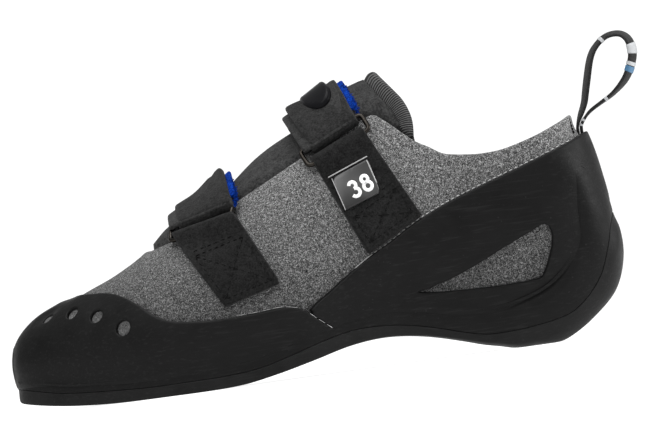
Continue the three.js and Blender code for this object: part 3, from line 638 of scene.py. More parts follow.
def closed(name, faces, top, under, names, along=None):
    """A closed piece between two faces over the same net, with a rim where they don't meet."""
    count = len(top)
    meets = np.linalg.norm(top - under, axis=1) < 0.02
    rim = boundary_edges(faces)
    on_rim = np.zeros(count, bool)
    on_rim[rim.ravel()] = True
    lower = np.where(meets & on_rim, np.arange(count), np.arange(count) + count)
    under_faces = lower[faces[:, ::-1]]
    quads = [(b, a, lower[a], lower[b]) for a, b in rim if lower[a] != a and lower[b] != b]
    corners = [(b, a, lower[a]) for a, b in rim if lower[a] != a and lower[b] == b]
    corners += [(b, a, lower[b]) for a, b in rim if lower[a] == a and lower[b] != b]
    all_faces = [*faces, *under_faces, *quads, *corners]
    vertices = np.concatenate([top, under])
    used, place = np.unique(np.concatenate([np.ravel(f) for f in all_faces]), return_inverse=True)
    order = np.full(2 * count, -1)
    order[used] = np.arange(len(used))
    face_materials = np.zeros(len(all_faces))
    face_materials[len(faces) : 2 * len(faces)] = len(names) - 1
    piece = make_object(name, vertices[used], [order[list(f)] for f in all_faces], names, face_materials)
    if along is not None:
        values = np.concatenate([along, along])[used].astype(np.float32)
        piece.data.attributes.new("along", "FLOAT", "POINT").data.foreach_set("value", values)
    return piece


def rounding(depth, radius, power):
    share = np.clip(depth / radius, 0, 1)
    return (1 - (1 - share) ** power) ** (1 / power)


def dress(name, skin, radius, top, under, names, slot, *nodes, meet=None, power=4, along=None):
    """A sheet between two levels, whose faces come together at a third along its rounded edge."""
    meet = under if meet is None else meet
    share = rounding(skin["edge"], radius, power)
    high = skin.at(meet + (top - meet) * share)
    low = skin.at(meet + (under - meet) * share)
    piece = closed(name, skin.faces, high, low, names, along)
    return finish_piece(piece, slot, *nodes)


def ring_faces(rows, count, flipped=False):
    """Faces between rings of points in a row, with both ends closed."""
    last = (rows - 1) * count
    faces = []
    for start in range(0, last, count):
        for i in range(count):
            j = (i + 1) % count
            a, b, c, d = start + i, start + count + i, start + count + j, start + j
            faces.append((a, d, c, b) if flipped else (a, b, c, d))
    ends = [tuple(range(count)), tuple(range(last + count - 1, last - 1, -1))]
    return faces + [end[::-1] if flipped else end for end in ends]


# Materials


class Shader:
    """A material's node tree, built one call at a time."""

    def __init__(self, name):
        self.material = bpy.data.materials.new(name)
        self.material.use_nodes = True
        self.tree = self.material.node_tree
        self.main = self.tree.nodes["Principled BSDF"]
        self.place = self.node("ShaderNodeTexCoord").outputs["Object"]

    def node(self, kind, inputs=(), **settings):
        made = self.tree.nodes.new(kind)
        for name, value in settings.items():
            setattr(made, name, value)
        self.feed(made, dict(inputs))
        return made

    def feed(self, node, inputs):
        for name, value in inputs.items():
            if isinstance(value, bpy.types.NodeSocket):
                self.tree.links.new(value, node.inputs[name])
            else:
                node.inputs[name].default_value = value

    def noise(self, scale, detail=2.0, roughness=0.5, stretch=None):
        place = self.place
        if stretch:
            mapping = {"Vector": place, "Scale": stretch, "Rotation": (0, STREAK_TURN, 0)}
            place = self.node("ShaderNodeMapping", mapping).outputs["Vector"]
        inputs = {"Vector": place, "Scale": scale, "Detail": detail, "Roughness": roughness}
        return self.node("ShaderNodeTexNoise", inputs).outputs["Fac"]

    def ramp(self, value, *stops):
        made = self.node("ShaderNodeValToRGB", {"Fac": value})
        ramp = made.color_ramp
        while len(ramp.elements) < len(stops):
            ramp.elements.new(0.5)
        for element, (at, color) in zip(ramp.elements, stops):
            element.position = at
            element.color = (*color, 1)
        return made.outputs["Color"]

    def grey_ramp(self, value, *stops):
        return self.ramp(value, *[(at, (grey, grey, grey)) for at, grey in stops])

    def sum(self, a, b, share=1.0):
        """a + b * share"""
        return self.node("ShaderNodeMath", {0: b, 1: share, 2: a}, operation="MULTIPLY_ADD").outputs[0]

    def blend(self, kind, color, other, share=1):
        inputs = {0: share, 6: color, 7: other}
        return self.node("ShaderNodeMix", inputs, data_type="RGBA", blend_type=kind).outputs[2]

    def bump(self, height, distance, strength=1.0):
        made = self.node("ShaderNodeBump", {"Distance": distance, "Strength": strength, "Height": height})
        self.feed(self.main, {"Normal": made.outputs["Normal"]})

    def set(self, **values):
        self.feed(self.main, {name.replace("_", " "): value for name, value in values.items()})


def plain(name, color, roughness, **more):
    shader = Shader(name)
    shader.set(Base_Color=(*color, 1), Roughness=roughness, **more)
    return shader.material


def microfibre_material():
    """A heathered grey, with painted shade that darkens it low on the shoe and painted light that brightens
    its top.
    """
    shader = Shader("microfibre")
    speckle = shader.sum(shader.noise(2500, 2.0, 0.8), shader.noise(1050, 2.0, 0.6), 0.35)
    color = shader.grey_ramp(speckle, (0.52, 0.009), (0.65, 0.08), (0.75, 0.21), (0.90, 0.58))
    broad = shader.grey_ramp(shader.noise(28, 3.0), (0.3, 0.86), (0.7, 1.0))
    color = shader.blend("MULTIPLY", color, broad)
    # Painted shade and light: the colour is scaled by height, darker low down and lighter near the top.
    height = shader.node("ShaderNodeSeparateXYZ", {0: shader.place}).outputs["Z"]
    span = {0: height, "From Min": 0.03, "From Max": 0.085, "To Min": 0.58, "To Max": 1.12}
    color = shader.blend("MULTIPLY", color, shader.node("ShaderNodeMapRange", span).outputs[0])
    shader.set(Base_Color=color, Roughness=0.95, Sheen_Weight=0.04, Sheen_Roughness=0.5)
    shader.set(Specular_IOR_Level=0.1)
    shader.bump(speckle, 0.00025, 0.9)
    return shader.material


def rubber_material(name, light):
    shader = Shader(name)
    mottle = shader.noise(90, 4.0, 0.6)
    grain = shader.noise(1400, 2.0, 0.6)
    brushed = shader.noise(260, 3.0, 0.6, stretch=(0.12, 1, 2.2))
    # Painted sheen where light is above 1: the whole copy of the rubber is painted lighter.
    color = shader.grey_ramp(mottle, (0.3, 0.0026 * light), (0.75, 0.0055 * light))
    streaks = shader.noise(1100, 2.0, 0.6, stretch=(0.05, 1, 1))
    color = shader.blend("ADD", color, shader.grey_ramp(streaks, (0.55, 0), (0.72, 0.006)))
    specks = shader.grey_ramp(shader.noise(900, 1.0), (0.74, 0), (0.80, 1))
    color = shader.blend("MIX", color, (0.06, 0.06, 0.06, 1), shader.sum(0.0, specks, 0.25))
    rough = shader.grey_ramp(shader.sum(mottle, brushed, 0.6), (0.5, 0.44), (1.0, 0.62))
    shader.set(Base_Color=color, Roughness=rough, Specular_IOR_Level=0.14)
    shader.bump(shader.sum(grain, brushed, 1.5), 0.00012, 0.6)
    return shader.material


def cloth_material(name, low, high, scale=1500, depth=0.0003, sheen=0.05, tone=(1, 1, 1)):
    shader = Shader(name)
    mixed = shader.sum(shader.noise(scale, 3.0, 0.7), shader.noise(scale * 0.3, 2.0), 0.4)
    dark, bright = ([value * c for c in tone] for value in (low, high))
    color = shader.ramp(mixed, (0.5, dark), (0.9, bright))
    broad = shader.grey_ramp(shader.noise(60, 3.0), (0.3, 0.75), (0.7, 1.0))
    shader.set(Base_Color=shader.blend("MULTIPLY", color, broad), Roughness=0.92, Sheen_Weight=sheen)
    shader.set(Specular_IOR_Level=0.06)
    shader.bump(mixed, depth, 0.9)
    return shader.material


def steel_material():
    shader = Shader("steel")
    rough = shader.grey_ramp(shader.noise(500, 2.0), (0.3, 0.28), (0.7, 0.45))
    shader.set(Base_Color=(0.028, 0.025, 0.022, 1), Metallic=1.0, Roughness=rough)
    return shader.material


def label_material():
    """A dark film with painted reflection: noise makes its colour lighter in patches, where it catches the
    light unevenly.
    """
    shader = Shader("label")
    color = shader.grey_ramp(shader.noise(70, 1.0, 0.4), (0.40, 0.006), (0.70, 0.07))
    shader.set(Base_Color=color, Roughness=0.3, Specular_IOR_Level=0.3)
    return shader.material


def rib_material():
    """A ribbed knit: the ribs follow the place along the edge that the mesh carries."""
    shader = Shader("rib")
    place = shader.node("ShaderNodeAttribute", attribute_name="along").outputs["Fac"]
    turn = shader.node("ShaderNodeMath", {0: place, 1: 2 * math.pi / RIB_PITCH}, operation="MULTIPLY")
    wave = shader.node("ShaderNodeMath", {0: turn.outputs[0]}, operation="SINE")
    rib = shader.sum(0.5, wave.outputs[0], 0.5)
    fibre = shader.noise(1500, 2.0)
    # Painted shade: the colour follows the ribs' wave, darker in the troughs between them and lighter on
    # their crests.
    color = shader.grey_ramp(shader.sum(rib, fibre, 0.4), (0.25, 0.008), (1.1, 0.10))
    shader.set(Base_Color=color, Roughness=0.9, Sheen_Weight=0.05, Specular_IOR_Level=0.06)
    shader.bump(shader.sum(rib, fibre, 0.2), 0.0005, 1.0)
    return shader.material


materials = {
    "rubber": rubber_material("rubber", 1.0),
    # The outsole's rubber is painted twice as light: painted sheen for the light that its rounded edge
    # catches.
    "sole_rubber": rubber_material("sole_rubber", 2.0),
    "microfibre": microfibre_material(),
    "lining": cloth_material("lining", 0.03, 0.07),
    "vent": cloth_material("vent_cloth", 0.02, 0.22, scale=1800, depth=0.0005),
    "tongue": cloth_material("tongue_cloth", 0.014, 0.065, scale=1300),
    "rib": rib_material(),
    "webbing": cloth_material("webbing", 0.004, 0.022),
    "fold": cloth_material("fold", 0.008, 0.034, scale=1200, depth=0.0004),
    "pile": cloth_material("pile", 0.05, 1.0, scale=1600, depth=0.0009, sheen=0.0, tone=(0.006, 0.07, 0.55)),
    "lip": cloth_material("lip", 0.012, 0.055),
    "steel": steel_material(),
    "gloss": plain("gloss", (0.006, 0.006, 0.007), 0.4, Specular_IOR_Level=0.05),
    "label": label_material(),
    "white": plain("white_print", (0.86, 0.86, 0.86), 0.5),
    "edge": plain("clear_edge", (0.35, 0.35, 0.35), 0.3),
    "thread": cloth_material("thread", 0.002, 0.006),
    "pale_thread": cloth_material("pale_thread", 0.30, 0.75),
    "tape": cloth_material("tape", 0.010, 0.035, scale=2200, depth=0.00015),
    "mark": plain("pale_mark", (0.40, 0.41, 0.42), 0.7),
    "blue_mark": plain("blue_mark", (0.04, 0.13, 0.24), 0.7),
}


# Upper, rands, insole


opening_line = side_line(OPENING_EDGE)


def crease_level(points):
    level = np.zeros(len(points))
    for line, depth, width in CREASES:
        level -= depth * np.exp(-((line_distance(points, smooth_line(line)) / width) ** 2))
    return level


def make_upper():
    skin = form.copy()
    skin["edge"] = -inside_distance(skin["base"], above(opening_line))
    skin.cut("edge", UPPER_ROUND)
    relief = crease_level(skin["base"]) * smooth(skin["edge"] / 6)
    relief += 0.25 * np.exp(-(((skin["edge"] - 1.4) / 1.2) ** 2))
    x, z = skin["base"][:, 0], skin["base"][:, 2]
    relief -= COLLAR_THINNED * smooth((x - 31) / 5) * smooth((z - 76) / 8)
    dress(
        "upper_skin", skin, UPPER_ROUND, relief, relief - UPPER_WALL, ["microfibre", "lining"],
        "microfibre", "upper", meet=relief - 0.9, power=2.6,
    )


def vent_axis(place, angle):
    def at(p, a):
        row = section_values(np.array([p]))
        a = math.radians(a)
        across = mix(row["ridge"], row["outer"], math.cos(a) ** row["crown"])
        up = row["height"] * mix(row["widest"], 1, math.sin(a))
        return in_section(row, across, up)[0, 0]

    along = at(place + 0.1, angle) - at(place - 0.1, angle)
    around = at(place, angle + 2) - at(place, angle - 2)
    return at(place, angle), unit(np.cross(along, around))


def hole_distance(points, middle, axis, radius):
    offset = points - middle
    height = offset @ axis
    flat = np.linalg.norm(offset - height[:, None] * axis, axis=1)
    return np.where(np.abs(height) < 12, flat - radius, 99)


def make_vent_cloth():
    parts = []
    for diameter, place, angle in VENTS:
        middle, axis = vent_axis(place, angle)
        reach = diameter / 2 + 0.25
        parts.append(tube([middle - axis * 0.3, middle + axis * VENT_CLOTH_UP], reach, 28))
    joined("vent_cloth", parts, "vent", "microfibre")


toe_line = side_line(TOE_RAND_EDGE)
seam_points = side_points(TOE_RAND_EDGE[HEEL_RAND_FRONT:])


def make_toe_rand():
    skin = form.copy()
    points = skin.at(RAND_OUTER)
    end = toe_line[-1][0]
    outline = np.concatenate([[(-FAR, FAR)], toe_line, [(end, -FAR), (-FAR, -FAR)]])
    skin["edge"] = inside_distance(points, outline)
    skin["hole"] = np.full(len(points), 99.0)
    for diameter, place, angle in VENTS:
        middle, axis = vent_axis(place, angle)
        skin["hole"] = np.minimum(skin["hole"], hole_distance(points, middle, axis, diameter / 2))
    skin.cut("edge", TOE_RAND_ROUND)
    skin.cut("hole", VENT_ROUND, (0, 0.05, 0.2, 0.5, 1))
    skin["edge"] = np.minimum(skin["edge"], skin["hole"] * TOE_RAND_ROUND / VENT_ROUND)
    on_top = smooth((skin["inward"] + 16) / 10)
    top = RAND_OUTER - 1.5 * on_top * (1 - smooth(skin["edge"] / 8))
    dress("toe_rand_skin", skin, TOE_RAND_ROUND, top, -SUNK, ["rubber"], "rubber", "toe_rand")


def make_heel_rand():
    skin = form.copy()
    points = skin.at(RAND_OUTER)
    seam = smooth_line(seam_points + (0.15, 0))
    heel = side_line(HEEL_RAND_EDGE)
    behind = [(FAR, heel[-1][1]), (FAR, -FAR), (seam[-1][0], -FAR)]
    outline = np.concatenate([seam[::-1], heel[1:], behind])
    window = side_line((*WINDOW, WINDOW[0]), 4)[:-1]
    whole = inside_distance(points, outline)
    skin["edge"] = np.minimum(whole, -inside_distance(points, window))
    skin.cut("edge", HEEL_RAND_ROUND)
    dress("heel_rand_skin", skin, HEEL_RAND_ROUND, RAND_OUTER, -SUNK, ["rubber"], "rubber", "heel_rand")


def make_insole():
    skin = form.copy()
    skin["edge"] = np.where(skin["place"] <= LAST_INSOLE_SECTION, INSOLE_UP - skin["up"], -1)
    skin.keep((skin["edge"][skin.faces] > -0.01).any(1))
    skin.split("edge", 0)
    skin.keep(skin["edge"][skin.faces].mean(1) > 0)
    low = skin.at(INSOLE_UNDER)
    high = low.copy()
    high[:, 2] += np.clip(INSOLE_UP - skin["up"] - 0.4, 0, INSOLE_THICKNESS)
    piece = closed("insole_skin", skin.faces, high, low, ["lining"])
    finish_piece(piece, "lining", "insole")


# Outsole


def sole_profile(row, side, lean):
    half = row[side] - row["middle"]
    flat_edge = row["middle"] + half * row["flat"]
    corner_edge = flat_edge + half * row["corner"] + lean * RAND_OUTER
    corner_up = np.abs(half) * row["corner"]
    end_up = corner_up + SOLE_INNER
    t = np.linspace(0, 1, DENSE_PROFILE, endpoint=False)[None, :]
    a = t * math.pi / 2
    round_across = mix(flat_edge, corner_edge, np.sin(a))
    round_up = mix(corner_up, -row["sole"], np.cos(a))
    square_across = mix(flat_edge, corner_edge, smooth(t * 2.2) ** 0.5)
    square_up = mix(-row["sole"], corner_up, np.clip((t - 0.38) / 0.62, 0, 1) ** 1.15)
    across = [
        mix(row["middle"], flat_edge, t),
        mix(round_across, square_across, row["box"]),
        corner_edge + 0 * t,
    ]
    up = [
        -row["sole"] + 0 * t,
        mix(round_up, square_up, row["box"]),
        mix(corner_up, end_up, t),
    ]
    return np.concatenate(across, 1), np.concatenate(up, 1), end_up


def corner_directions(side):
    index = round(HALF_RING * 0.47)
    index = index if side == "outer" else -index
    return form_out[CAP_ROWS:, index]


def sole_skin():
    count = LAST_SOLE_SECTION * ROWS_PER_SECTION + 1
    places = np.arange(count) / ROWS_PER_SECTION
    row = section_values(places)
    shifts = []
    profiles = []
    left = []
    for side in ("outer", "inner"):
        lean = corner_directions(side)[:count]
        across, up, end_up = sole_profile(row, side, lean[:, 1:2])
        profiles.append(evenly(across, up, HALF_RING + 1))
        left.append(end_up - profiles[-1][1])
        fade = 1 - smooth((places - TOE_SECTIONS + 1) / 2)
        shifts.append(lean[:, 0] * RAND_OUTER * fade)
    across, up = joined_ring(*profiles)
    to_end, _ = joined_ring(*[np.stack([side, side]) for side in left])
    rings = in_section(row, across, up)
    side_share = np.linspace(0, 1, HALF_RING + 1)
    ramp = smooth(side_share * 3)
    rings[:, : HALF_RING + 1, 0] += shifts[0][:, None] * ramp[None, :]
    rings[:, HALF_RING + 1 :, 0] += (shifts[1][:, None] * ramp[None, :])[:, -2:0:-1]
    rings[:, 0, 0] += shifts[0]
    x, z = rings[..., 0], rings[..., 2]
    heel_shift = 0.9 * np.exp(-(((x + 7) / 7) ** 2)) - 1.1 * np.exp(-(((x - 15) / 7) ** 2))
    z = z + heel_shift * (1 - smooth(z / 8))
    rings[..., 2] = np.maximum((z + np.sqrt(z * z + 0.8)) / 2 - 0.25, 0)
    rings = with_toe_cap(rings)
    to_end = np.concatenate([np.repeat(to_end[0:1], CAP_ROWS, 0), to_end])
    out = grid_directions(rings)
    rows, around = rings.shape[:2]
    skin = Skin(rings.reshape(-1, 3), out.reshape(-1, 3), grid_faces(rows, around), to_end=to_end.ravel())
    corners = skin["base"][skin.faces][..., 1]
    skin.keep(corners.max(1) - corners.min(1) < WIDEST_SOLE_FACE)
    skin["line"] = inside_distance(skin["base"], below(side_line(SOLE_LINE)))
    return skin


def make_outsole(skin):
    skin["edge"] = skin["line"].copy()
    skin.cut("edge", SOLE_ROUND, (0, 0.3, 1))
    x, z = skin["base"][:, 0], skin["base"][:, 2]
    top = HEEL_SWELL * smooth((x - 34) / 9) * np.exp(-(((z - 36) / 17) ** 2)) * smooth(skin["edge"] / 3)
    dress(
        "outsole_skin", skin, SOLE_ROUND, top, top - SOLE_SHEET, ["sole_rubber"], "rubber", "outsole",
        power=3,
    )


def make_rand_foot(skin):
    """The lower part of both rands, flush with the outsole's side, which runs up under their surface."""
    skin["edge"] = np.minimum(-skin["line"], skin["to_end"] + 0.01)
    skin["edge"] = np.minimum(skin["edge"], FOOT_TOP - skin["base"][:, 2])
    skin.cut("edge", SOLE_ROUND, (0, 0.3, 1))
    sink = 1 - smooth(skin["to_end"] / mix(4.0, 8.0, smooth((skin["base"][:, 0] + 60) / 40)))
    top = -FOOT_SUNK * sink
    dress("rand_foot_skin", skin, SOLE_ROUND, top, top - FOOT_SHEET, ["rubber"], "rubber", power=3)


# Tongue


def tongue_levels(skin, proud):
    points = skin["base"]
    clear = inside_distance(points, above(opening_line))
    rise = mix(0.6, 1.6, smooth((points[:, 0] + 130) / 10))
    tuck = 1 - smooth((clear - 0.3) / rise)
    level = TONGUE_TOP + proud - (TONGUE_TOP - TONGUE_TUCKED + proud + 0.1) * tuck
    for middle, height, reach in TONGUE_SWELLS:
        level += height * (1 - tuck) * np.exp(-(((points[:, 0] - middle) / reach) ** 2))
    return level


def make_tongue():
    skin = form.copy()
    rear = side_line(BINDING_EDGE)
    side = side_line(TONGUE_SIDE)
    outline = np.concatenate([[(rear[0][0], FAR)], rear, side, [(side[-1][0], FAR)]])
    skin["edge"] = inside_distance(skin["base"], outline)
    skin.cut("edge", 1.6)
    top = tongue_levels(skin, 0)
    seam = np.exp(-(((line_distance(skin["base"], rear) - 1.0) / 0.6) ** 2))
    top -= 0.3 * seam
    piece = dress(
        "tongue_skin", skin, TONGUE_ROUND, top, top - TONGUE_THICKNESS, ["tongue"],
        "tongue_cloth", "tongue", meet=top - 1.0, power=3,
    )


def make_binding():
    skin = form.copy()
    front = side_line(BINDING_EDGE)
    rear = side_line(TONGUE_EDGE)
    outline = np.concatenate([[(front[0][0], FAR)], front, rear[::-1], [(rear[-1][0], FAR)]])
    skin["edge"] = inside_distance(skin["base"], outline)
    skin.cut("edge", BINDING_ROUND, (0, 0.01, 0.04, 0.1, 0.2, 0.35, 0.6, 1))
    to_front = line_distance(skin["base"], front)
    top = tongue_levels(skin, BINDING_PROUD * smooth(to_front / 3) - 0.1)
    dress(
        "binding_skin", skin, BINDING_ROUND, top, top - TONGUE_THICKNESS, ["rib"], "rib", "tongue_binding",
        meet=top - mix(0.8, 2.2, smooth(to_front / 4)), power=2, along=line_place(skin["base"], rear),
    )


# Straps


def ring_frame(strap):
    toe, heel = (side_points(strap[name])[1] for name in ("toe_edge", "heel_edge"))
    base = surface(0)
    toe, heel = base.find(*toe)[0], base.find(*heel)[0]
    middle = base.find((toe[0] + heel[0]) / 2, (toe[2] + heel[2]) / 2)[0]
    across = unit(heel - toe)
    step = RING_WIDTH / 2
    lower = base.find(middle[0] + across[2] * step, middle[2] - across[0] * step)[0]
    outward = unit(np.cross(lower - middle, across))
    outward = -outward if outward[1] > 0 else outward
    down = unit(np.cross(outward, across))
    down = -down if down[2] > 0 else down
    return {"middle": middle, "across": across, "down": down, "outward": outward}


def from_frame(frame_of, along, down, out):
    flat = frame_of["across"] * along + frame_of["down"] * down
    return frame_of["middle"] + flat + frame_of["outward"] * out


def tube(points, radius, sides, loop=False):
    """Rings of points round a line, and the faces between them; radius is one number or one a point."""
    points = np.asarray(points, float)
    count = len(points)
    radius = np.broadcast_to(np.asarray(radius, float), count)
    if loop:
        along = unit(np.roll(points, -1, 0) - np.roll(points, 1, 0))
    else:
        along = unit(np.gradient(points, axis=0))
    helper = np.where(np.abs(along[:, 1:2]) < 0.75, (0, 1, 0), (1, 0, 0))
    right = unit(np.cross(along, helper))
    upward = np.cross(right, along)
    a = np.arange(sides) * 2 * math.pi / sides
    ring = np.cos(a)[None, :, None] * right[:, None] + np.sin(a)[None, :, None] * upward[:, None]
    vertices = (points[:, None] + ring * radius[:, None, None]).reshape(-1, 3)
    faces = []
    for k in range(count if loop else count - 1):
        n = (k + 1) % count
        for i in range(sides):
            j = (i + 1) % sides
            faces.append((k * sides + i, k * sides + j, n * sides + j, n * sides + i))
    if not loop:
        faces.append(tuple(range(sides)))
        faces.append(tuple(range(count * sides - 1, (count - 1) * sides - 1, -1)))
    return vertices, faces


def joined(name, parts, material, slot):
    vertices = []
    faces = []
    start = 0
    for part_vertices, part_faces in parts:
        vertices.append(part_vertices)
        faces += [tuple(i + start for i in face) for face in part_faces]
        start += len(part_vertices)
    return finish_piece(make_object(name, np.concatenate(vertices), faces, [material]), slot)


def make_ring(name, frame_of):
    bend = RING_WIRE
    half_length = RING_LENGTH / 2 - bend
    half_width = RING_WIDTH / 2 - bend
    path = []
    for sa, sd, turn in ((1, 1, 0), (-1, 1, 90), (-1, -1, 180), (1, -1, 270)):
        for i in range(9):
            a = math.radians(turn + 90 * i / 8)
            along = sa * half_length + bend * math.cos(a)
            path.append(from_frame(frame_of, along, sd * half_width + bend * math.sin(a), RING_LEVEL))
    vertices, faces = tube(path, RING_WIRE / 2, 16, loop=True)
    piece = make_object(f"{name}_ring_wire", vertices, faces, ["steel"])
    finish_piece(piece, "steel", f"{name}_ring")


def fold_level(distance, top):
    """The outside of a fold round the ring, at a distance from the ring's middle line."""
    centre = RING_WIDTH / 2
    middle = (top + FOLD_LOW) / 2
    share = np.clip((centre - distance) / FOLD_REACH, 0, 1)
    return middle + (top - middle) * np.sqrt(1 - share**2)


def down_from(skin, frame_of, level):
    return (skin.at(level) - frame_of["middle"]) @ frame_of["down"]


def make_base(name, strap, frame_of):
    skin = form.copy()
    toe, heel = side_points(strap["toe_edge"]), side_points(strap["heel_edge"])
    outline = base_outline(toe, heel)
    points = skin.at(BASE_OUTER)
    skin["edge"] = np.minimum(inside_distance(points, outline), -skin["inward"])
    down = down_from(skin, frame_of, RING_LEVEL)
    skin["down"] = down - FOLD_START
    skin.cut("edge", BASE_ROUND)
    skin.cut("down", FOLD_REACH, (0, 0.04, 0.15, 0.35, 0.65, 1))
    down = skin["down"] + FOLD_START
    fold = fold_level(down, BASE_FOLD_TOP)
    fall = smooth((down - RING_WIDTH / 2) / 8)
    top = mix(fold, BASE_OUTER, fall)
    for line in base_stitch_lines(strap):
        near = line_distance(skin.at(BASE_OUTER), line)
        top -= 0.4 * np.exp(-((near / 0.9) ** 2)) * fall
    roll = np.maximum(2 * FOLD_LOW + BASE_FOLD_TOP - fold, -SUNK)
    under = np.where(down < RING_WIDTH / 2, roll, -SUNK)
    dress(
        f"{name}_base_cloth", skin, BASE_ROUND, top, under, ["webbing"],
        "webbing", f"{name}_strap_base", meet=-0.2,
    )


def in_quad(corners, s, t):
    """A point at shares across and down a quad, whose corners run round from the top left."""
    a, b, c, d = corners
    return mix(mix(a, b, s), mix(d, c, s), t)


def quad_line(corners, shares, steps=12):
    points = []
    for (s0, t0), (s1, t1) in zip(shares[:-1], shares[1:]):
        for k in range(steps):
            points.append(in_quad(corners, mix(s0, s1, k / steps), mix(t0, t1, k / steps)))
    points.append(in_quad(corners, *shares[-1]))
    return np.array(points)


def base_stitch_lines(strap):
    """The stitched box with its diagonals, and the second row along its top."""
    toe, heel = side_points(strap["toe_edge"]), side_points(strap["heel_edge"])
    corners = (toe[1], heel[1], heel[0], toe[0])
    left, right, low, high = 0.10, 0.90, 0.92, strap["box_top"]
    box = [(left, high), (right, high), (right, low), (left, low), (left, high)]
    lines = [box, [(left, high), (right, low)], [(right, high), (left, low)]]
    lines.append([(left, high - 0.06), (right, high - 0.06)])
    return [quad_line(corners, line) for line in lines]


def base_outline(toe, heel):
    """The base's outline: its lower corners, and sides carried on past the ring."""
    toe_up = toe[1] + (toe[1] - toe[0]) * 0.2
    heel_up = heel[1] + (heel[1] - heel[0]) * 0.2
    return np.array([toe[0], toe_up, heel_up, heel[0]])


def strap_fields(skin, strap, level, inner_line, widen=(0.0, 0.0), flare=0.0):
    """How far inside the strap's two edges, and how far above its end on the inner side, each point is."""
    points = skin.at(level)
    toe = side_line(strap["toe_edge"], 4) - (widen[0], 0)
    heel = side_line(strap["heel_edge"], 4) + (widen[1], 0)
    heel[:, 0] += flare * smooth((heel[:, 1] - side_points(strap["heel_edge"])[1, 1] - 3) / 8)
    toe_up = toe[-1] + (toe[-1] - toe[-2]) * 9
    heel_up = heel[-1] + (heel[-1] - heel[-2]) * 9
    band = np.concatenate([toe, [toe_up, heel_up], heel[::-1]])
    line = side_points(inner_line)
    along = line[1] - line[0]
    far_line = np.array([line[0] - along * 2, line[1] + along * 2])
    end = np.minimum(inside_distance(points, above(far_line)), 6)
    inner_end = np.where(skin["inward"] > 0, end, 6)
    return inside_distance(points, band), inner_end


def make_layer(name, strap, frame_of, levels, lift, material, slot, node, widen, inner_line, flare=0.0):
    inner, outer = levels
    skin = form.copy()
    band, end = strap_fields(skin, strap, outer, strap[inner_line], widen, flare)
    up = -down_from(skin, frame_of, outer) - lift
    up = np.where(skin["inward"] < 0, np.minimum(up, 6), 6)
    skin["edge"] = np.minimum(np.minimum(band, end), up)
    radius = (outer - inner) / 2
    skin.cut("edge", radius)
    nodes = [node] if node else []
    meet = (outer + inner) / 2
    dress(name, skin, radius, outer, inner, [material], slot, *nodes, meet=meet, power=2.2)


def make_tail(name, strap, frame_of):
    skin = form.copy()
    band, end = strap_fields(skin, strap, TAIL_OUTER, strap["tail_end"], (-2.6, 0.0))
    up = -down_from(skin, frame_of, TAIL_OUTER) - FOLD_START
    skin["up_from_ring"] = np.where(skin["inward"] < 0, np.minimum(up, 14), 14)
    skin["edge"] = np.minimum(band, end)
    skin.cut("edge", TAIL_ROUND)
    skin.cut("up_from_ring", FOLD_REACH, (0, 0.03, 0.1, 0.22, 0.4, 0.65, 1))
    up = skin["up_from_ring"] + FOLD_START
    top = fold_level(up, TAIL_OUTER)
    roll = FOLD_LOW + TAIL_OUTER - top
    points = skin.at(TAIL_OUTER)
    toe_side = line_distance(points, side_line(strap["toe_edge"]))
    heel_side = line_distance(points, side_line(strap["heel_edge"]))
    toe_swell, heel_swell = strap["swell"]
    swell = toe_swell * (1 - smooth((toe_side - 3) / 12)) + heel_swell * smooth((toe_side - 8) / 12)
    top += swell * smooth((skin["inward"] + 30) / 20) * smooth((up - 5) / 6)
    top -= 0.45 * np.exp(-(((heel_side - 4.3) / 0.6) ** 2)) * smooth(up - 5)
    lifted = mix(FOLD_LOW, TAIL_INNER, smooth((up - RING_WIDTH / 2) / 5))
    under = np.where(up < RING_WIDTH / 2, roll, lifted)
    dress(
        f"{name}_strap_tail", skin, TAIL_ROUND, top, under, ["fold"],
        "webbing", f"{name}_strap", meet=(top + under) / 2, power=2.4,
    )


def make_tufts(name, strap):
    """Short fibres that stand out from the pile's edge on the heel side."""
    random = np.random.default_rng(7)
    heel = side_points(strap["heel_edge"])
    parts = []
    for _ in range(TUFTS):
        share = random.uniform(0.25, 0.9)
        x, z = mix(heel[1], heel[2], share)
        offset = PILE_FLARE * float(smooth((z - heel[1][1] - 3) / 8)) + random.uniform(-0.6, 0.6)
        start, out = surface(PILE_OUTER).find(x + offset, z)
        start = start - out * random.uniform(0.2, 1.5)
        lean = np.array([random.uniform(0.2, 1.0), 0, random.uniform(-0.5, 0.6)])
        lean = lean + out * random.uniform(-0.2, 0.9)
        length = random.uniform(0.5, 1.3)
        middle = start + lean * length * 0.5 + out * 0.1
        parts.append(tube([start, middle, start + lean * length], np.array([0.2, 0.16, 0.06]), 5))
    joined(f"{name}_pile_tufts", parts, "pile", "pile")


# Threads and flat strips on the outer side


def on_surface(points, level):
    found = [surface(level).find(x, z) for x, z in points]
    return np.array([f[0] for f in found]), np.array([f[1] for f in found])


def stitch_row(line, level, pitch=2.6, share=0.68, radius=0.24):
    """Short threads along a line of the side view."""
    line = np.asarray(line, float)
    length = np.concatenate([[0], np.cumsum(np.linalg.norm(np.diff(line, axis=0), axis=1))])
    count = max(int(length[-1] / pitch), 1)
    parts = []
    for k in range(count):
        at = (k + 0.5 - share / 2 + share * np.linspace(0, 1, 5)) * length[-1] / count
        flat = np.stack([np.interp(at, length, line[:, 0]), np.interp(at, length, line[:, 1])], 1)
        points, out = on_surface(flat, level)
        lift = radius * np.array([-0.6, 0.35, 0.6, 0.35, -0.6])
        size = radius * np.array([0.5, 1, 1, 1, 0.5])
        parts.append(tube(points + out * lift[:, None], size, 6))
    return parts


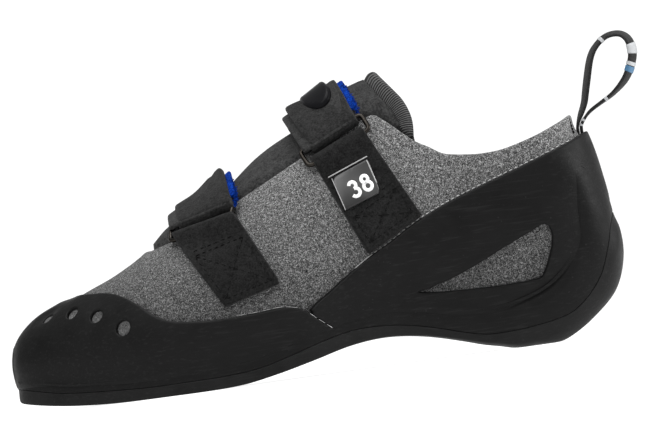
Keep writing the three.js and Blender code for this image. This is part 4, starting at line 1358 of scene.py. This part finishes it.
def strip(line, width, level, height):
    """A flat strip of a given width along a line of the side view."""
    along = unit(np.gradient(line, axis=0))
    side = np.stack([-along[:, 1], along[:, 0]], 1) * width / 2
    corners = []
    for offset, rise in ((-1, 0), (-1, 1), (1, 1), (1, 0)):
        points, out = on_surface(line + side * offset, level)
        corners.append(points + out * (height * rise - 0.15 * (1 - rise)))
    return np.stack(corners, 1).reshape(-1, 3), ring_faces(len(line), 4, flipped=True)


def make_base_stitches(name, strap):
    parts = []
    for line in base_stitch_lines(strap):
        parts += stitch_row(line, BASE_OUTER - 0.35)
    joined(f"{name}_base_stitches", parts, "thread", "webbing")


def make_fine_seams():
    """Pale dashes along the rands' edges and their seam, and dark stitches at the collar's rear end."""
    heel = side_line(HEEL_RAND_EDGE[4:-2]) + (-0.2, 0.35)
    pale = stitch_row(heel, 0.35, pitch=2.3, share=0.62, radius=0.24)
    pale += stitch_row(heel[:6], 0.3, pitch=1.5, share=0.95, radius=0.2)
    toe = side_line(TOE_RAND_EDGE[13:18]) + (0, 0.35)
    pale += stitch_row(toe, 0.25, pitch=5, share=0.9, radius=0.1)
    seam = side_line(HEEL_RAND_EDGE[:1] + TOE_RAND_EDGE[19:22])
    pale += stitch_row(seam, RAND_OUTER - 0.2, pitch=4, share=0.8, radius=0.1)
    joined("pale_edges", pale, "pale_thread", "rubber")
    dark = stitch_row([(31.9, 88.4), (33.2, 81.8)], -0.45, pitch=1.3, share=0.7, radius=0.4)
    joined("collar_stitches", dark, "thread", "microfibre")


def make_label():
    skin = form.copy()
    corners = side_points(LABEL_CORNERS)
    skin["edge"] = np.minimum(inside_distance(skin.at(LABEL_OUTER), corners), -skin["inward"])
    skin.cut("edge", LABEL_ROUND, (0, 0.05, 0.3, 1))
    dress("label_face", skin, LABEL_ROUND, LABEL_OUTER, LABEL_INNER, ["label"], "label", "size_label")
    level = LABEL_OUTER
    edges = [
        strip(quad_line(corners, [(-0.06, -0.06), (1.0, -0.06)], 8), 0.35, level, 0.12),
        strip(quad_line(corners, [(0.01, 0.02), (0.0, 1.0)], 8), 0.3, level, 0.1),
        strip(quad_line(corners, [(0.96, 0.03), (0.99, 0.72)], 8), 0.45, level, 0.06),
    ]
    joined("label_edges", edges, "edge", "label")
    joined("label_digits", digit_strips(corners, level), "white", "label")


def arc(cx, cy, rx, ry, start, end, steps=18):
    a = np.radians(np.linspace(start, end, steps))
    return np.stack([cx + rx * np.cos(a), cy + ry * np.sin(a)], 1)


def digit_strips(corners, level):
    """The size number, drawn with round strokes in the label's own directions."""
    across = unit(corners[1] - corners[0])
    upward = np.array([-across[1], across[0]])
    start = in_quad(corners, 0.30, 0.82)
    strokes = (
        (0, arc(0.45, 0.74, 0.30, 0.22, 160, -90)),
        (0, arc(0.45, 0.28, 0.36, 0.25, 90, -160)),
        (1.16, arc(0.48, 0.74, 0.29, 0.21, 0, 360, 26)),
        (1.16, arc(0.48, 0.28, 0.36, 0.26, 0, 360, 30)),
    )
    parts = []
    for shift, stroke in strokes:
        x = (stroke[:, 0] + shift) * DIGIT_WIDTH
        y = stroke[:, 1] * DIGIT_HEIGHT
        line = start + across * x[:, None] + upward * y[:, None]
        parts.append(strip(line, DIGIT_STROKE, level, 0.1))
    return parts


def make_badge():
    skin = form.copy()
    middle = side_points([BADGE_MIDDLE])[0]
    points = skin.at(BADGE_OUTER)
    x = (points[:, 0] - middle[0]) / (BADGE_LENGTH / 2)
    z = (points[:, 2] - middle[1]) / (BADGE_HEIGHT / 2)
    reach = (1 - np.sqrt(x * x + z * z)) * BADGE_HEIGHT / 2
    skin["edge"] = np.minimum(reach, -skin["inward"] + 2)
    skin.cut("edge", BADGE_ROUND)
    dress(
        "badge_face", skin, BADGE_ROUND, BADGE_OUTER, BADGE_INNER, ["gloss"], "label", "strap_badge",
        power=2,
    )


# Pull loop


def loop_frames(steps=8):
    table = np.array(LOOP_PATH)
    places = np.arange((len(table) - 1) * steps + 1) / steps
    rows = spline_rows(table, places)
    flat = side_points(rows[:, :2])
    low = 1 - smooth((flat[:, 1] - 83) / 12)
    flat[:, 0] -= LOOP_LEAN * low
    flat = np.concatenate([flat[:1] - (0, LOOP_SUNK), flat, flat[-1:] - (0, LOOP_SUNK)])
    rows = np.concatenate([rows[:1], rows, rows[-1:]])
    points = np.stack([flat[:, 0], 0 * flat[:, 0], flat[:, 1]], 1)
    along = unit(np.gradient(points, axis=0))
    a = np.radians(rows[:, 2])[:, None]
    side = np.array([[0, 1, 0]])
    width = side * np.cos(a) + np.cross(along, side) * np.sin(a)
    thick = np.cross(along, width)
    return points, width, thick


def make_loop():
    points, width, thick = loop_frames()
    shape = [(-1, 0), (-0.97, 0.75), (-0.9, 1), (0, 1), (0.9, 1), (0.97, 0.75)]
    shape += [(1, 0), (0.97, -0.75), (0.9, -1), (0, -1), (-0.9, -1), (-0.97, -0.75)]
    rings = [points + width * w * LOOP_WIDTH / 2 + thick * t * LOOP_THICKNESS / 2 for w, t in shape]
    vertices = np.stack(rings, 1).reshape(-1, 3)
    piece = make_object("loop_tape", vertices, ring_faces(len(points), len(shape)), ["tape"])
    finish_piece(piece, "tape", "pull_loop")
    for material in ("mark", "blue_mark"):
        marks = [sleeve(points, width, thick, *span) for span, kind in LOOP_MARKS if kind == material]
        joined(f"loop_{material}s", marks, material, "tape")


def sleeve(points, width, thick, first, last):
    """A thin band round the tape between two places of its path, counted in rows of the path's table."""
    places = np.linspace(1 + 8 * first, 1 + 8 * last, 7)
    index = np.arange(len(points))
    at, w, t = (
        np.stack([np.interp(places, index, v[:, c]) for c in range(3)], 1) for v in (points, width, thick)
    )
    corners = []
    for across, over in ((-1.03, -1.14), (1.03, -1.14), (1.03, 1.14), (-1.03, 1.14)):
        corners.append(at + w * across * LOOP_WIDTH / 2 + t * over * LOOP_THICKNESS / 2)
    return np.stack(corners, 1).reshape(-1, 3), ring_faces(len(places), 4)


# Camera, in metres: the photo's tilt is kept by rolling the camera
VIEW_CENTRE = Vector((-0.0700, -0.020, 0.0627))
VIEW_WIDTH = 0.260
VIEW_DISTANCE = 6.0
VIEW_ROLL = math.radians(7.92)
SENSOR = 36.0
PAPER_GLOW = 0.9

# The backdrop, in metres
SWEEP_FRONT = -8.0
SWEEP_DEPTH = 9.0
SWEEP_SIDE = 6
SWEEP_RADIUS = 0.5
SWEEP_HEIGHT = 3.0
SWEEP_STEPS = 24


def place_camera():
    data = bpy.data.cameras.new("camera")
    data.sensor_width = SENSOR
    data.lens = SENSOR * VIEW_DISTANCE / VIEW_WIDTH
    camera = bpy.data.objects.new("camera", data)
    bpy.context.scene.collection.objects.link(camera)
    right = Vector((math.cos(VIEW_ROLL), 0, -math.sin(VIEW_ROLL)))
    up = Vector((math.sin(VIEW_ROLL), 0, math.cos(VIEW_ROLL)))
    back = right.cross(up)
    turn = Matrix((right, up, back)).transposed().to_4x4()
    camera.matrix_world = Matrix.Translation(VIEW_CENTRE + back * VIEW_DISTANCE) @ turn
    bpy.context.scene.camera = camera


def area_light(name, place, target, size, power):
    data = bpy.data.lights.new(name, "AREA")
    data.shape = "SQUARE"
    data.size = size
    data.energy = power
    light = bpy.data.objects.new(name, data)
    light.location = place
    light.rotation_mode = "QUATERNION"
    light.rotation_quaternion = (Vector(target) - Vector(place)).to_track_quat("-Z", "Y")
    bpy.context.scene.collection.objects.link(light)


def make_sweep():
    """The pale floor, which curves up into the backdrop."""
    bend = SWEEP_DEPTH - SWEEP_RADIUS
    profile = [(SWEEP_FRONT, 0.0), (bend, 0.0)]
    for i in range(1, SWEEP_STEPS + 1):
        a = math.radians(90 * i / SWEEP_STEPS)
        profile.append((bend + SWEEP_RADIUS * math.sin(a), SWEEP_RADIUS * (1 - math.cos(a))))
    profile.append((SWEEP_DEPTH, SWEEP_HEIGHT))
    vertices = [(x, y, z) for y, z in profile for x in (-SWEEP_SIDE, SWEEP_SIDE)]
    faces = [(2 * i, 2 * i + 1, 2 * i + 3, 2 * i + 2) for i in range(len(profile) - 1)]
    mesh = bpy.data.meshes.new("sweep")
    mesh.from_pydata(vertices, [], faces)
    mesh.polygons.foreach_set("use_smooth", [True] * len(faces))
    glow = {"Emission_Color": (1, 1, 1, 1), "Emission_Strength": PAPER_GLOW}
    mesh.materials.append(plain("paper", (0.3, 0.3, 0.3), 0.9, **glow))
    sweep = bpy.data.objects.new("sweep", mesh)
    bpy.context.scene.collection.objects.link(sweep)


def make_studio():
    make_sweep()
    target = (-0.07, 0, 0.05)
    area_light("key", (-0.55, -0.9, 1.3), target, 0.8, 16)
    area_light("top", (0.0, 0.1, 1.4), target, 0.8, 14)
    area_light("rim", (1.0, -0.1, 0.4), target, 0.5, 9)
    world = bpy.data.worlds.new("world")
    world.use_nodes = True
    background = world.node_tree.nodes["Background"]
    background.inputs["Color"].default_value = (1, 1, 1, 1)
    background.inputs["Strength"].default_value = 0.35
    bpy.context.scene.world = world


make_upper()
make_toe_rand()
make_heel_rand()
make_vent_cloth()
make_insole()
under_foot = sole_skin()
make_outsole(under_foot.copy())
make_rand_foot(under_foot)
make_tongue()
make_binding()
for strap_name, strap_shape in STRAPS.items():
    ring_place = ring_frame(strap_shape)
    make_ring(strap_name, ring_place)
    make_base(strap_name, strap_shape, ring_place)
    make_layer(
        f"{strap_name}_strap_under", strap_shape, ring_place, (STRAP_INNER, STRAP_OUTER), UNDER_LIFT,
        "webbing", "webbing", None, (1.2, 0.2), "anchor",
    )
    make_layer(
        f"{strap_name}_strap_lip", strap_shape, ring_place, (TAIL_INNER - 0.1, TAIL_OUTER - 0.5),
        LIP_LIFT, "lip", "webbing", None, (1.0, -0.6), "tail_end",
    )
    make_layer(
        f"{strap_name}_pile_cloth", strap_shape, ring_place, (PILE_INNER, PILE_OUTER), PILE_LIFT,
        "pile", "pile", f"{strap_name}_pile", (-0.5, 0.6), "tail_end", flare=PILE_FLARE,
    )
    make_tufts(strap_name, strap_shape)
    make_tail(strap_name, strap_shape, ring_place)
for strap_name, strap_shape in STRAPS.items():
    make_base_stitches(strap_name, strap_shape)
make_fine_seams()
make_label()
make_badge()
make_loop()

place_camera()
make_studio()
bpy.context.scene.view_settings.view_transform = "Standard"
